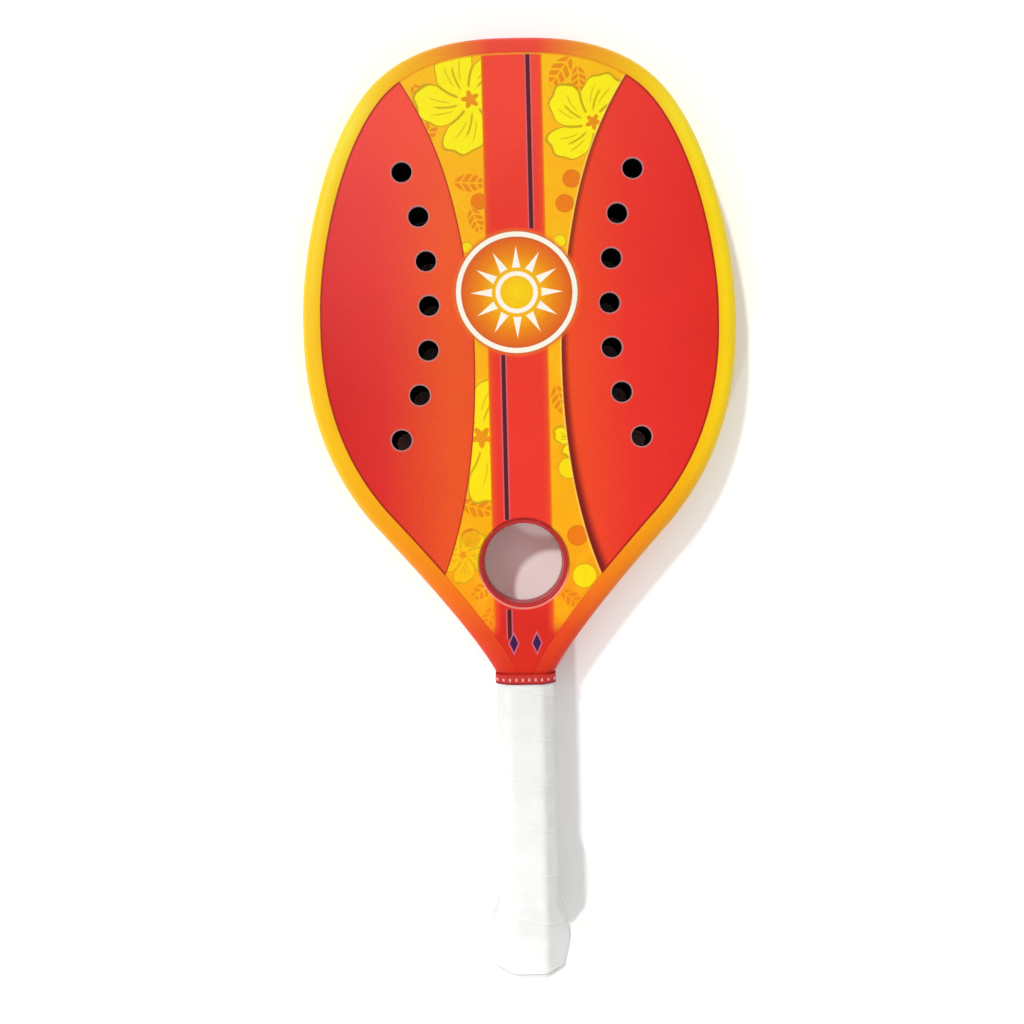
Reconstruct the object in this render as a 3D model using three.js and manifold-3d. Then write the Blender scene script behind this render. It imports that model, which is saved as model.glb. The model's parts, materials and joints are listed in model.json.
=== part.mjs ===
// A beach tennis racket, lying on its back face as it would on a table.
// Millimetres: +X across the face, +Y from the butt to the tip, +Z up from the face.
// Every piece is drawn about the racket's own mid plane and axis, with the butt end at Y = 0.
import * as THREE from "three";
import { mergeVertices } from "three/addons/utils/BufferGeometryUtils.js";
import Module from "manifold-3d";

const wasm = await Module();
wasm.setup();

// Whole racket
const LENGTH = 500;
const GRIP_LENGTH = 154;
const HEAD_LENGTH = LENGTH - GRIP_LENGTH;
const HEAD_WIDTH = 233.5;
const HEAD_THICKNESS = 20;
const BOND_GAP = 0.3; // glue line or slip clearance between neighbouring pieces
const CUT_OVERRUN = 2; // how far each cutting solid runs past what it cuts

// Outline of the head's right side, as curve handles and ends from the tip down,
// in shares of half the head's width and of the head's length
const CROWN_SHARES = [[0, 0], [0.16, 0], [0.445, 0], [0.65, 0.066]];
const SHOULDER_SHARES = [[0.65, 0.066], [0.886, 0.144], [1, 0.325], [1, 0.43]];
const FLANK_SHARES = [[1, 0.43], [1, 0.485], [1.01, 0.63], [0.681, 0.757]];
const HIP_SHARES = [0.45, 0.843];
const NECK_SLOPE_SHARE = 0.5; // how fast the half width shrinks at the grip's top edge, per length
const NECK_EASE = 22; // handle of the curve above that edge
const NECK_RUN = 18; // from that edge down to where the legs run straight

// Frame tube: one bent tube round the head, whose two ends run down the handle
const RIM_WIDTH = 10.5;
const RIM_ROUNDING = 6;
const LEG_ROUNDING = 4;
const TUBE_WALL = 1.3;
const ROUNDING_LIMIT_SHARE = 0.9; // the most of the tube's width that a rounded edge takes
const SPACER_WIDTH = 4.8; // of the strip between the two legs
const ARC_STEPS = 4; // facets of each rounded edge of the tube

// Face plates, core and holes
const SKIN_THICKNESS = 0.8;
const PLATE_FOOT = 3; // from the grip's top edge up to the plates' lower end
const HOLE_DIAMETER = 10.8;
const HOLE_SIDES = 16;
const HOLE_PITCH = 23.8;
const HOLE_ROW_OFFSET = 48.1; // from the axis to the middle hole of a row
const HOLE_ROW_SHARE = 0.418; // height of the middle hole, from the tip, of the head's length
const HOLE_BOW = 15.8; // how far a row bends outwards towards its ends
const HOLE_BOW_SHARES = [0.85, 0.31, 0.08, 0, 0.05, 0.36, 1]; // of the bow, from the top hole down

// Throat hole and its ring
const THROAT_BORE = 43;
const THROAT_WALL = 1.9;
const THROAT_LIP = 1.3; // rounding of the ring's inner edges
const THROAT_SHARE = 0.817; // height of its centre, from the tip, of the head's length
const THROAT_SIDES = 40;

// Grip: the outer surface of the wraps is an octagon with facets of constant width
const GRIP_WIDTH = 32;
const GRIP_THICKNESS = 29;
const FRONT_FACET = 17.6;
const SIDE_FACET = 14.6;
const WRAP_ROUNDING = 2.2; // how far each softened corner of a wrap reaches along its facets
const TOP_TAPER = 14; // length over which the wrap draws in to the neck
const TOP_SLACK = 0.75; // between the wrap and the band's line at the sides of the neck

// Butt flare
const FLARE_PEAK = 18; // from the butt end to the widest place
const FLARE_FALL = 19; // from there up to where the flare has died away
const FLARE_WIDTH = 6.2; // how far the widest place stands out at each side
const FLARE_THICKNESS = 4.6; // and at the front and back
const FLARE_END_SHARE = 0.4; // how much of the flare is left at the butt end

// Wraps
const OVERGRIP_THICKNESS = 0.6;
const OVERLAP_RISE = 0.35; // how much the tape stands up where it lies on its last turn
const OVERLAP_WIDTH = 6;
const TAPE_PITCH = 24; // distance between turns, along the handle
const OVERGRIP_RINGS = 64;
const BASE_GRIP_THICKNESS = 1.8;
const FLARE_RINGS = 10;
const TAPER_RINGS = 4;
const BAND_HEIGHT = 4.2;
const BAND_THICKNESS = 0.5;
const BAND_SIDES = 32;

// Butt cap, pallets and staples
const CAP_FLOOR = 3;
const CAP_LIP_SHARE = 0.68; // how far up the flare's fall the cap's socket reaches
const CAP_FLANGE = 2.4;
const CAP_EDGE = 0.8; // rounding of the flange's outer edge
const PALLET_WALL = 1.35; // beside the legs
const PALLET_COVER = 2.35; // in front of the legs and behind them
const PALLET_SPLIT = 0.3;
const STAPLE_WIRE = 0.9;
const STAPLE_SPAN = 8;
const STAPLE_BITE = 1.2; // how deep a staple's legs enter a pallet

// Derived sizes and places
const HALF_HEAD = HEAD_THICKNESS / 2;
const NECK_Y = GRIP_LENGTH;
const LEGS_Y = NECK_Y - NECK_RUN;
const LEG_END_Y = CAP_FLOOR + BOND_GAP;
const FLARE_TOP = FLARE_PEAK + FLARE_FALL;
const CAP_HEIGHT = FLARE_PEAK + CAP_LIP_SHARE * FLARE_FALL;
const PLATE_FOOT_Y = NECK_Y + PLATE_FOOT;
const THROAT_Y = LENGTH - THROAT_SHARE * HEAD_LENGTH;
const HOLE_ROW_Y = LENGTH - HOLE_ROW_SHARE * HEAD_LENGTH;
const OVERGRIP_ALL = OVERGRIP_THICKNESS + OVERLAP_RISE;
const BASE_GRIP_INSET = OVERGRIP_ALL + BOND_GAP;
const CAP_INSET = BASE_GRIP_INSET + BASE_GRIP_THICKNESS + BOND_GAP;
const WRAP_FOOT_Y = CAP_FLANGE + BOND_GAP;
const BASE_GRIP_TOP_Y = NECK_Y - TOP_TAPER - BOND_GAP;
const PALLET_WIDTH = GRIP_WIDTH - 2 * CAP_INSET;
const PALLET_THICKNESS = GRIP_THICKNESS - 2 * CAP_INSET;
const LEG_SPAN = PALLET_WIDTH - 2 * (PALLET_WALL + BOND_GAP); // across both legs
const LEG_WIDTH = (LEG_SPAN - SPACER_WIDTH) / 2 - BOND_GAP;
const LEG_THICKNESS = PALLET_THICKNESS - 2 * (PALLET_COVER + BOND_GAP);
const NECK_WIDTH = 2 * (RIM_WIDTH + BOND_GAP) + SPACER_WIDTH; // across both tubes at the grip's top edge

// Colours and finishes
const finishes = {
  rim: finish(0xf6c41c, 0.42),
  face: finish(0xe9473c, 0.5),
  throat: finish(0xd5352f, 0.45),
  core: finish(0x141214, 0.9),
  foam: finish(0xcdb98a, 0.85),
  cap: finish(0xe9e8e4, 0.5),
  steel: finish(0xb8bcc2, 0.3, 1),
  cushion: finish(0x2a2a2d, 0.75),
  wrap: finish(0xf7f7f5, 0.7),
  band: finish(0x8c1f33, 0.5),
};

function finish(color, roughness, metalness = 0) {
  return { color, roughness, metalness };
}

// Geometry helpers

// Eases from 0 to 1 as value goes from start to end.
function ease(value, start, end) {
  return THREE.MathUtils.smoothstep(value, Math.min(start, end), Math.max(start, end));
}

// The signed volume of a geometry, positive when its faces point out.
function signedVolume(geometry) {
  const corners = geometry.toNonIndexed().getAttribute("position");
  const [a, b, c] = [new THREE.Vector3(), new THREE.Vector3(), new THREE.Vector3()];
  let sum = 0;
  for (let i = 0; i < corners.count; i += 3) {
    [a, b, c].forEach((corner, k) => corner.fromBufferAttribute(corners, i + k));
    sum += a.dot(b.cross(c));
  }
  return sum / 6;
}

// A closed mesh from rings with the same number of points. A loop joins its last ring to its first;
// otherwise a fan about each end ring's middle closes it. Faces are turned to point out.
function loft(rings, isLoop) {
  const sides = rings[0].length;
  const points = rings.flat();
  const faces = [];
  const spans = isLoop ? rings.length : rings.length - 1;
  for (let i = 0; i < spans; i++) {
    const here = i * sides;
    const there = ((i + 1) % rings.length) * sides;
    for (let j = 0; j < sides; j++) {
      const next = (j + 1) % sides;
      faces.push(here + j, there + j, there + next);
      faces.push(here + j, there + next, here + next);
    }
  }
  if (!isLoop) {
    closeEnd(points, faces, rings[0], 0, false);
    closeEnd(points, faces, rings[rings.length - 1], (rings.length - 1) * sides, true);
  }
  const geometry = new THREE.BufferGeometry().setFromPoints(points);
  geometry.setIndex(faces);
  if (signedVolume(geometry) < 0) geometry.setIndex(faces.reverse());
  return geometry;
}

function closeEnd(points, faces, ring, first, isLast) {
  const middle = ring.reduce((sum, p) => sum.add(p), new THREE.Vector3()).divideScalar(ring.length);
  const hub = points.push(middle) - 1;
  ring.forEach((_, j) => {
    const [p, q] = [first + j, first + ((j + 1) % ring.length)];
    faces.push(hub, isLast ? q : p, isLast ? p : q);
  });
}

function toSolid(geometry) {
  const bare = geometry.clone();
  bare.deleteAttribute("normal");
  bare.deleteAttribute("uv");
  const merged = mergeVertices(bare);
  const mesh = new wasm.Mesh({
    numProp: 3,
    vertProperties: new Float32Array(merged.getAttribute("position").array),
    triVerts: new Uint32Array(merged.index.array),
  });
  return new wasm.Manifold(mesh);
}

function toGeometry(solid) {
  const mesh = solid.getMesh();
  const geometry = new THREE.BufferGeometry();
  geometry.setAttribute("position", new THREE.BufferAttribute(mesh.vertProperties, 3));
  geometry.setIndex(new THREE.BufferAttribute(mesh.triVerts, 1));
  return geometry;
}

function cut(geometry, ...tools) {
  return toGeometry(tools.reduce((body, tool) => body.subtract(toSolid(tool)), toSolid(geometry)));
}

function boxAt(width, height, depth, x, y, z) {
  return new THREE.BoxGeometry(width, height, depth).translate(x, y, z);
}

// Extrudes a shape drawn in X and Y, from z upwards.
function plate(shape, thickness, z) {
  return new THREE.ExtrudeGeometry(shape, { depth: thickness, bevelEnabled: false }).translate(0, 0, z);
}

// Extrudes a shape drawn in X and Z along the handle, between two heights.
function bar(shape, fromY, toY) {
  const geometry = new THREE.ExtrudeGeometry(shape, { depth: toY - fromY, bevelEnabled: false });
  return geometry.rotateX(Math.PI / 2).translate(0, toY, 0);
}

function circle(x, y, radius, sides) {
  const corners = Array.from({ length: sides }, (_, i) => {
    const angle = (2 * Math.PI * i) / sides;
    return new THREE.Vector2(x + radius * Math.cos(angle), y + radius * Math.sin(angle));
  });
  return new THREE.Path(corners);
}

// Head outline: each sample holds a point of the right side and the normal that points inwards.

function fromTip([widthShare, lengthShare]) {
  return new THREE.Vector2((widthShare * HEAD_WIDTH) / 2, LENGTH - lengthShare * HEAD_LENGTH);
}

function outlineCurves() {
  const neck = new THREE.Vector2(NECK_WIDTH / 2, NECK_Y);
  const leg = new THREE.Vector2(LEG_SPAN / 2, LEGS_Y);
  const aboveNeck = new THREE.Vector2(neck.x + NECK_EASE * NECK_SLOPE_SHARE, neck.y + NECK_EASE);
  const below = NECK_RUN / 4;
  const belowNeck = new THREE.Vector2(neck.x - below * NECK_SLOPE_SHARE, neck.y - below);
  const aboveLeg = new THREE.Vector2(leg.x, leg.y + 2 * below);
  return [
    [new THREE.CubicBezierCurve(...CROWN_SHARES.map(fromTip)), 12],
    [new THREE.CubicBezierCurve(...SHOULDER_SHARES.map(fromTip)), 11],
    [new THREE.CubicBezierCurve(...FLANK_SHARES.map(fromTip)), 11],
    [new THREE.CubicBezierCurve(fromTip(FLANK_SHARES[3]), fromTip(HIP_SHARES), aboveNeck, neck), 9],
    [new THREE.CubicBezierCurve(neck, belowNeck, aboveLeg, leg), 6],
    [new THREE.LineCurve(leg, new THREE.Vector2(leg.x, LEG_END_Y)), 1],
  ];
}

function outlineSamples() {
  const samples = [];
  outlineCurves().forEach(([curve, steps], i) => {
    for (let k = i ? 1 : 0; k <= steps; k++) {
      const tangent = curve.getTangent(k / steps);
      const normal = new THREE.Vector2(tangent.y, -tangent.x);
      samples.push({ point: curve.getPoint(k / steps), normal });
    }
  });
  return samples;
}

const SAMPLES = outlineSamples();

// The frame tube's section at a height: it narrows and thins from the head to the legs.
function tubeSize(y) {
  const toLeg = 1 - ease(y, LEGS_Y, NECK_Y);
  const between = THREE.MathUtils.lerp;
  return {
    width: between(RIM_WIDTH, LEG_WIDTH, toLeg),
    thickness: between(HEAD_THICKNESS, LEG_THICKNESS, toLeg),
    rounding: between(RIM_ROUNDING, LEG_ROUNDING, toLeg),
  };
}

// The right half of the line just inside the frame tube, from the tip down.
function innerLine() {
  return SAMPLES.map(({ point, normal }) =>
    point.clone().addScaledVector(normal, tubeSize(point.y).width + BOND_GAP),
  );
}

// Where a half line crosses a height.
function crossing(line, y) {
  const i = line.findIndex((p) => p.y <= y);
  const share = (line[i - 1].y - y) / (line[i - 1].y - line[i].y);
  return line[i - 1].clone().lerp(line[i], share);
}

// The closed area between the frame's two sides, from a height up to the tip.
function insideShape(lowY) {
  const line = innerLine();
  const side = [...line.filter((p) => p.y > lowY), crossing(line, lowY)];
  const otherSide = side.filter((p) => p.x > 0).map((p) => new THREE.Vector2(-p.x, p.y));
  return new THREE.Shape([...side, ...otherSide.reverse()]);
}

// Head pieces

// Section of the tube: inward distance from the outline and height above the mid plane.
// The outer edges are rounded and the inner side is flat.
function tubeSection({ width, thickness, rounding }, wall) {
  const [low, high, half] = [wall, width - wall, thickness / 2 - wall];
  const radius = Math.min(Math.max(rounding - wall, wall), ROUNDING_LIMIT_SHARE * (high - low));
  const section = [new THREE.Vector2(high, half)];
  for (let i = 0; i <= ARC_STEPS; i++) {
    const angle = (Math.PI / 2) * (1 + i / ARC_STEPS);
    const inward = low + radius + radius * Math.cos(angle);
    section.push(new THREE.Vector2(inward, half - radius + radius * Math.sin(angle)));
  }
  const lower = section.map((p) => new THREE.Vector2(p.x, -p.y)).reverse();
  return [...section, ...lower];
}

function tubeRing(sample, side, wall) {
  return tubeSection(tubeSize(sample.point.y), wall).map(({ x: inward, y: height }) => {
    const place = sample.point.clone().addScaledVector(sample.normal, inward);
    return new THREE.Vector3(side * place.x, place.y, height);
  });
}

// The outer skin of the tube runs up one side and down the other, and its bore runs back.
function frameTube() {
  const path = [
    ...[...SAMPLES].reverse().map((sample) => [sample, 1]),
    ...SAMPLES.slice(1).map((sample) => [sample, -1]),
  ];
  const outside = path.map(([sample, side]) => tubeRing(sample, side, 0));
  const bore = path.map(([sample, side]) => tubeRing(sample, side, TUBE_WALL));
  return loft([...outside, ...bore.reverse()], true);
}

function headPlate(thickness, z) {
  const shape = insideShape(PLATE_FOOT_Y);
  shape.holes.push(circle(0, THROAT_Y, THROAT_BORE / 2 + THROAT_WALL + BOND_GAP, THROAT_SIDES));
  HOLE_BOW_SHARES.forEach((bowShare, i) => {
    const x = HOLE_ROW_OFFSET + bowShare * HOLE_BOW;
    const y = HOLE_ROW_Y + ((HOLE_BOW_SHARES.length - 1) / 2 - i) * HOLE_PITCH;
    shape.holes.push(circle(x, y, HOLE_DIAMETER / 2, HOLE_SIDES));
    shape.holes.push(circle(-x, y, HOLE_DIAMETER / 2, HOLE_SIDES));
  });
  return plate(shape, thickness, z);
}

function headCore() {
  const thickness = HEAD_THICKNESS - 2 * (SKIN_THICKNESS + BOND_GAP);
  return headPlate(thickness, -thickness / 2);
}

// A short tube with rounded inner lips, flush with both faces.
function throatRing() {
  const bore = THROAT_BORE / 2;
  const outer = bore + THROAT_WALL;
  const profile = [new THREE.Vector2(outer, HALF_HEAD)];
  for (let i = 0; i <= ARC_STEPS; i++) {
    const angle = (Math.PI / 2) * (1 + i / ARC_STEPS);
    const radius = bore + THROAT_LIP * (1 + Math.cos(angle));
    profile.push(new THREE.Vector2(radius, HALF_HEAD - THROAT_LIP * (1 - Math.sin(angle))));
  }
  const lower = profile.map((p) => new THREE.Vector2(p.x, -p.y)).reverse();
  const around = Array.from({ length: THROAT_SIDES }, (_, i) => {
    const angle = (2 * Math.PI * i) / THROAT_SIDES;
    return [...profile, ...lower].map(
      ({ x: radius, y: z }) =>
        new THREE.Vector3(radius * Math.cos(angle), THROAT_Y + radius * Math.sin(angle), z),
    );
  });
  return loft(around, true);
}

// Foam strip between the tube's legs, as thick as they are, which thickens into the head at the neck.
function legSpacer() {
  const line = innerLine();
  const topY = PLATE_FOOT_Y - BOND_GAP;
  const between = line.filter((p) => p.y > LEG_END_Y && p.y < topY);
  const side = [crossing(line, topY), ...between, crossing(line, LEG_END_Y)];
  const rings = side.map(({ x, y }) => {
    const half = tubeSize(y).thickness / 2;
    const corners = [[x, half], [-x, half], [-x, -half], [x, -half]];
    return corners.map(([across, up]) => new THREE.Vector3(across, y, up));
  });
  return loft(rings, false);
}

// Grip sections

// How much of the flare stands at a height: it swells from the butt end and dies away above its peak.
function flareShare(y) {
  if (y >= FLARE_TOP) return 0;
  if (y >= FLARE_PEAK) return (1 + Math.cos((Math.PI * (y - FLARE_PEAK)) / (FLARE_TOP - FLARE_PEAK))) / 2;
  return FLARE_END_SHARE + (1 - FLARE_END_SHARE) * Math.sin((Math.PI / 2) * Math.max(y, 0) / FLARE_PEAK);
}

// Half width and half thickness of the grip's outer surface at a height.
function gripSize(y) {
  const flare = flareShare(y);
  const drawn = ease(y, NECK_Y - TOP_TAPER, NECK_Y);
  const onNeck = BOND_GAP + BAND_THICKNESS + OVERGRIP_ALL;
  const between = THREE.MathUtils.lerp;
  return {
    halfWidth: between(GRIP_WIDTH / 2 + flare * FLARE_WIDTH, NECK_WIDTH / 2 + onNeck + TOP_SLACK, drawn),
    halfThickness: between(GRIP_THICKNESS / 2 + flare * FLARE_THICKNESS, HALF_HEAD + onNeck, drawn),
  };
}

// Corners of an octagon with the grip's facets, in X and Z.
function corners(halfWidth, halfThickness) {
  const [front, side] = [FRONT_FACET / 2, SIDE_FACET / 2];
  return [
    [halfWidth, -side], [halfWidth, side], [front, halfThickness], [-front, halfThickness],
    [-halfWidth, side], [-halfWidth, -side], [-front, -halfThickness], [front, -halfThickness],
  ].map(([x, z]) => new THREE.Vector2(x, z));
}

// The octagon, with each corner softened into three points of a short curve along its facets.
function octagon(halfWidth, halfThickness) {
  const sharp = corners(halfWidth, halfThickness);
  const reach = WRAP_ROUNDING;
  return sharp.flatMap((corner, i) => {
    const before = sharp[(i + sharp.length - 1) % sharp.length].clone().sub(corner);
    const after = sharp[(i + 1) % sharp.length].clone().sub(corner);
    const start = before.setLength(Math.min(reach, before.length() / 2)).add(corner);
    const end = after.setLength(Math.min(reach, after.length() / 2)).add(corner);
    return new THREE.QuadraticBezierCurve(start, corner, end).getPoints(2);
  });
}

// A ring of the grip at a height, inset from its outer surface.
function gripRing(y, inset) {
  const { halfWidth, halfThickness } = gripSize(y);
  const outline = octagon(halfWidth - inset, halfThickness - inset);
  return outline.map(({ x, y: z }) => new THREE.Vector3(x, y, z));
}

function heights(fromY, toY, steps) {
  return Array.from({ length: steps + 1 }, (_, i) => THREE.MathUtils.lerp(fromY, toY, i / steps));
}

function flareHeights() {
  return heights(WRAP_FOOT_Y, FLARE_TOP, FLARE_RINGS);
}

// Grip pieces

// How far the tape stands up at a height and angle: a step where it lies on its last turn, then a slope.
function overlapRise(y, angle) {
  const turn = y / TAPE_PITCH - angle / (2 * Math.PI);
  const past = (turn - Math.floor(turn)) * TAPE_PITCH;
  return OVERLAP_RISE * Math.max(0, 1 - past / OVERLAP_WIDTH);
}

function overgrip() {
  const top = NECK_Y - BOND_GAP;
  const outside = heights(WRAP_FOOT_Y, top, OVERGRIP_RINGS).map((y) =>
    gripRing(y, OVERLAP_RISE).map((p) => {
      const outward = new THREE.Vector3(p.x, 0, p.z).normalize();
      return p.addScaledVector(outward, overlapRise(y, Math.atan2(p.z, p.x)));
    }),
  );
  const straightTop = NECK_Y - TOP_TAPER;
  const levels = [...flareHeights(), ...heights(straightTop, top, TAPER_RINGS)];
  const inside = levels.map((y) => gripRing(y, OVERGRIP_ALL));
  return loft([...outside, ...inside.reverse()], true);
}

function baseGrip() {
  const levels = [...flareHeights(), BASE_GRIP_TOP_Y];
  const outside = levels.map((y) => gripRing(y, BASE_GRIP_INSET));
  const inside = levels.map((y) => gripRing(y, BASE_GRIP_INSET + BASE_GRIP_THICKNESS));
  return loft([...outside, ...inside.reverse()], true);
}

// A ring round both sides of the frame at a height, standing off by a clearance.
function neckRing(y, clearance) {
  const halfWidth = crossing(SAMPLES.map(({ point }) => point), y).x + clearance;
  const halfThickness = HALF_HEAD + clearance;
  const rounding = RIM_ROUNDING + clearance;
  return Array.from({ length: BAND_SIDES }, (_, i) => {
    const angle = (2 * Math.PI * (i + 1 / 2)) / BAND_SIDES;
    const [across, up] = [Math.cos(angle), Math.sin(angle)];
    const x = Math.sign(across) * (halfWidth - rounding) + rounding * across;
    const z = Math.sign(up) * (halfThickness - rounding) + rounding * up;
    return new THREE.Vector3(x, y, z);
  });
}

function finishingBand() {
  const levels = [NECK_Y, NECK_Y + BAND_HEIGHT];
  const outside = levels.map((y) => neckRing(y, BOND_GAP + BAND_THICKNESS));
  const inside = levels.map((y) => neckRing(y, BOND_GAP));
  return loft([...outside, ...inside.reverse()], true);
}

// Half of the handle's hard core: an octagon with a channel for the legs, split at the mid plane.
function pallet(side) {
  const gap = BOND_GAP;
  const outer = new THREE.Shape(octagon(PALLET_WIDTH / 2, PALLET_THICKNESS / 2));
  const legs = roundedBlock(LEG_SPAN / 2 + gap, LEG_THICKNESS / 2 + gap, LEG_ROUNDING);
  const whole = bar(outer, LEG_END_Y, LEGS_Y);
  const channel = bar(legs, LEG_END_Y - CUT_OVERRUN, LEGS_Y + CUT_OVERRUN);
  const otherHalf = boxAt(
    PALLET_WIDTH + CUT_OVERRUN,
    LENGTH,
    PALLET_THICKNESS,
    0,
    LENGTH / 2,
    (side * (PALLET_SPLIT - PALLET_THICKNESS)) / 2,
  );
  return cut(whole, channel, otherHalf, ...staplePockets(side));
}

// A rectangle in X and Z whose corners are rounded.
function roundedBlock(halfWidth, halfThickness, radius) {
  const shape = new THREE.Shape();
  const [x, z] = [halfWidth - radius, halfThickness - radius];
  shape.absarc(x, z, radius, 0, Math.PI / 2);
  shape.absarc(-x, z, radius, Math.PI / 2, Math.PI);
  shape.absarc(-x, -z, radius, Math.PI, (3 * Math.PI) / 2);
  shape.absarc(x, -z, radius, (3 * Math.PI) / 2, 2 * Math.PI);
  return new THREE.Shape(shape.getPoints(ARC_STEPS));
}

// A flared cup over the pallets' ends, whose flange covers the wraps' lower edges.
function buttCap() {
  const flange = [0, CAP_EDGE, CAP_FLANGE].map((y, i) => gripRing(y, i ? 0 : CAP_EDGE));
  const seat = heights(CAP_FLANGE, CAP_HEIGHT, FLARE_RINGS).map((y) => gripRing(y, CAP_INSET));
  const body = loft([...flange, ...seat], false);
  const socketShape = new THREE.Shape(
    octagon(PALLET_WIDTH / 2 + BOND_GAP, PALLET_THICKNESS / 2 + BOND_GAP),
  );
  const socket = bar(socketShape, CAP_FLOOR, CAP_HEIGHT + CUT_OVERRUN);
  return cut(body, socket, ...staplePockets(1), ...staplePockets(-1));
}

// Outer and inner ends of a staple, above the mid plane.
function stapleReach() {
  const top = gripSize(FLARE_PEAK).halfThickness - CAP_INSET;
  return [PALLET_THICKNESS / 2 - STAPLE_BITE, top];
}

// A wire bent into a U: the crown lies in the cap and the legs enter a pallet.
function staple(side) {
  const [point, top] = stapleReach();
  const [outer, inner] = [STAPLE_SPAN / 2, STAPLE_SPAN / 2 - STAPLE_WIRE];
  const outline = [
    [-outer, point], [-outer, top], [outer, top], [outer, point],
    [inner, point], [inner, top - STAPLE_WIRE], [-inner, top - STAPLE_WIRE], [-inner, point],
  ].map(([x, z]) => new THREE.Vector2(x, side * z));
  return bar(new THREE.Shape(outline), FLARE_PEAK - STAPLE_WIRE / 2, FLARE_PEAK + STAPLE_WIRE / 2);
}

// The slots that a staple's crown and legs need, a little larger than the wire.
function staplePockets(side) {
  const [point, top] = stapleReach();
  const width = STAPLE_WIRE + 2 * BOND_GAP;
  const deep = top - point + BOND_GAP + CUT_OVERRUN;
  const crownDeep = STAPLE_WIRE + BOND_GAP + CUT_OVERRUN;
  const legX = (STAPLE_SPAN - STAPLE_WIRE) / 2;
  const mouth = top + CUT_OVERRUN;
  const crown = boxAt(
    STAPLE_SPAN + 2 * BOND_GAP,
    width,
    crownDeep,
    0,
    FLARE_PEAK,
    side * (mouth - crownDeep / 2),
  );
  const legs = [-legX, legX].map((x) => boxAt(width, width, deep, x, FLARE_PEAK, side * (mouth - deep / 2)));
  return [crown, ...legs];
}

// Assembly

const racket = new THREE.Group();

function add(name, geometry, look) {
  const mesh = new THREE.Mesh(geometry, new THREE.MeshStandardMaterial(look));
  mesh.name = name;
  racket.add(mesh);
}

add("frame_tube", frameTube(), finishes.rim);
add("head_core", headCore(), finishes.core);
add("face_front", headPlate(SKIN_THICKNESS, HALF_HEAD - SKIN_THICKNESS), finishes.face);
add("face_back", headPlate(SKIN_THICKNESS, -HALF_HEAD), finishes.face);
add("throat_ring", throatRing(), finishes.throat);
add("leg_spacer", legSpacer(), finishes.core);
add("pallet_front", pallet(1), finishes.foam);
add("pallet_back", pallet(-1), finishes.foam);
add("butt_cap", buttCap(), finishes.cap);
add("cap_staple_front", staple(1), finishes.steel);
add("cap_staple_back", staple(-1), finishes.steel);
add("base_grip", baseGrip(), finishes.cushion);
add("overgrip", overgrip(), finishes.wrap);
add("finishing_band", finishingBand(), finishes.band);

// The butt is thicker than the head, so the racket lies tilted, on its flare and on the rim at its tip.
const flareHalf = GRIP_THICKNESS / 2 + FLARE_THICKNESS;
racket.rotation.x = -Math.atan((flareHalf - HALF_HEAD) / (LENGTH - RIM_ROUNDING - FLARE_PEAK));

// The origin is under the middle of the racket's box, on the surface that it lies on.
const group = new THREE.Group();
group.add(racket);
const box = new THREE.Box3().setFromObject(group, true);
const middle = box.getCenter(new THREE.Vector3());
racket.position.set(-middle.x, -middle.y, -box.min.z);

export default group;
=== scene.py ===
import json
import math

import bmesh
import bpy
import numpy as np
from mathutils import Matrix, Vector


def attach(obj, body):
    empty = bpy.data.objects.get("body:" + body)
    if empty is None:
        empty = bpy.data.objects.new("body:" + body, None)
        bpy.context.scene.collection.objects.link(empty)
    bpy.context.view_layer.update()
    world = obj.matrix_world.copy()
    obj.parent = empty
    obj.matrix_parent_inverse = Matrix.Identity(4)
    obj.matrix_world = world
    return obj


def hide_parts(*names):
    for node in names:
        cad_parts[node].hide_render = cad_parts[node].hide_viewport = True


# A beach tennis racket that lies face up on a white floor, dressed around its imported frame.
# Sizes are millimetres in the racket's own frame: x across, y from the butt end to the tip,
# z up from the mid plane. to_scene() turns them into metres in the shared frame.

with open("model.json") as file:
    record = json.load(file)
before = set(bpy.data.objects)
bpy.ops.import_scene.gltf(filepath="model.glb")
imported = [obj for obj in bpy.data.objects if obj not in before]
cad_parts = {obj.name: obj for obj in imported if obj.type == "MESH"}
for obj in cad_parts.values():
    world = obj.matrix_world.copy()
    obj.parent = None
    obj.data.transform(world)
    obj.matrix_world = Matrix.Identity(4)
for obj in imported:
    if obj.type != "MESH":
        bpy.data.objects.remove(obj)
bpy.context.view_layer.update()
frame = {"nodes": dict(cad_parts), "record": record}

MM = 0.001
BODY = "root"
MOUNTS = {mount["name"]: mount for mount in frame["record"]["mounts"]}
BUTT = np.array(MOUNTS["butt_end"]["pos_m"])
HANDLE_AXIS = MOUNTS["butt_end"]["axis"]  # out of the butt end, along the racket's -y
TILT = math.atan2(-HANDLE_AXIS[2], -HANDLE_AXIS[1])  # of the lying racket, about x

# Whole racket and head, as the CAD source has them
LENGTH = 500.0
NECK_Y = 154.0
HEAD_LENGTH = LENGTH - NECK_Y
HALF_WIDTH = 116.75
HALF_HEAD = 10.0
BOND_GAP = 0.3
PAINTED_GAP = 0.08  # what the paint leaves of the gap between the rim and the face
CROWN = [(0, 0), (0.16, 0), (0.445, 0), (0.65, 0.066)]
SHOULDER = [(0.65, 0.066), (0.886, 0.144), (1, 0.325), (1, 0.43)]
FLANK = [(1, 0.43), (1, 0.485), (1.01, 0.63), (0.681, 0.757)]
HIP = (0.45, 0.843)
NECK_HALF = 13.2
NECK_SLOPE = 0.5
NECK_EASE = 22.0
LEGS_Y = 136.0
LEG_END_Y = 3.3
LEG_HALF = 11.0
RIM = (10.5, HALF_HEAD, 6.0)  # width, half thickness and rounding of the tube round the head
LEG = (8.3, 8.5, 4.0)  # and of its two legs in the handle
TUBE_WALL = 1.3
EDGE_ROUNDING = 0.12  # of the tube's inner corners and the face sheets' edges
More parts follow.
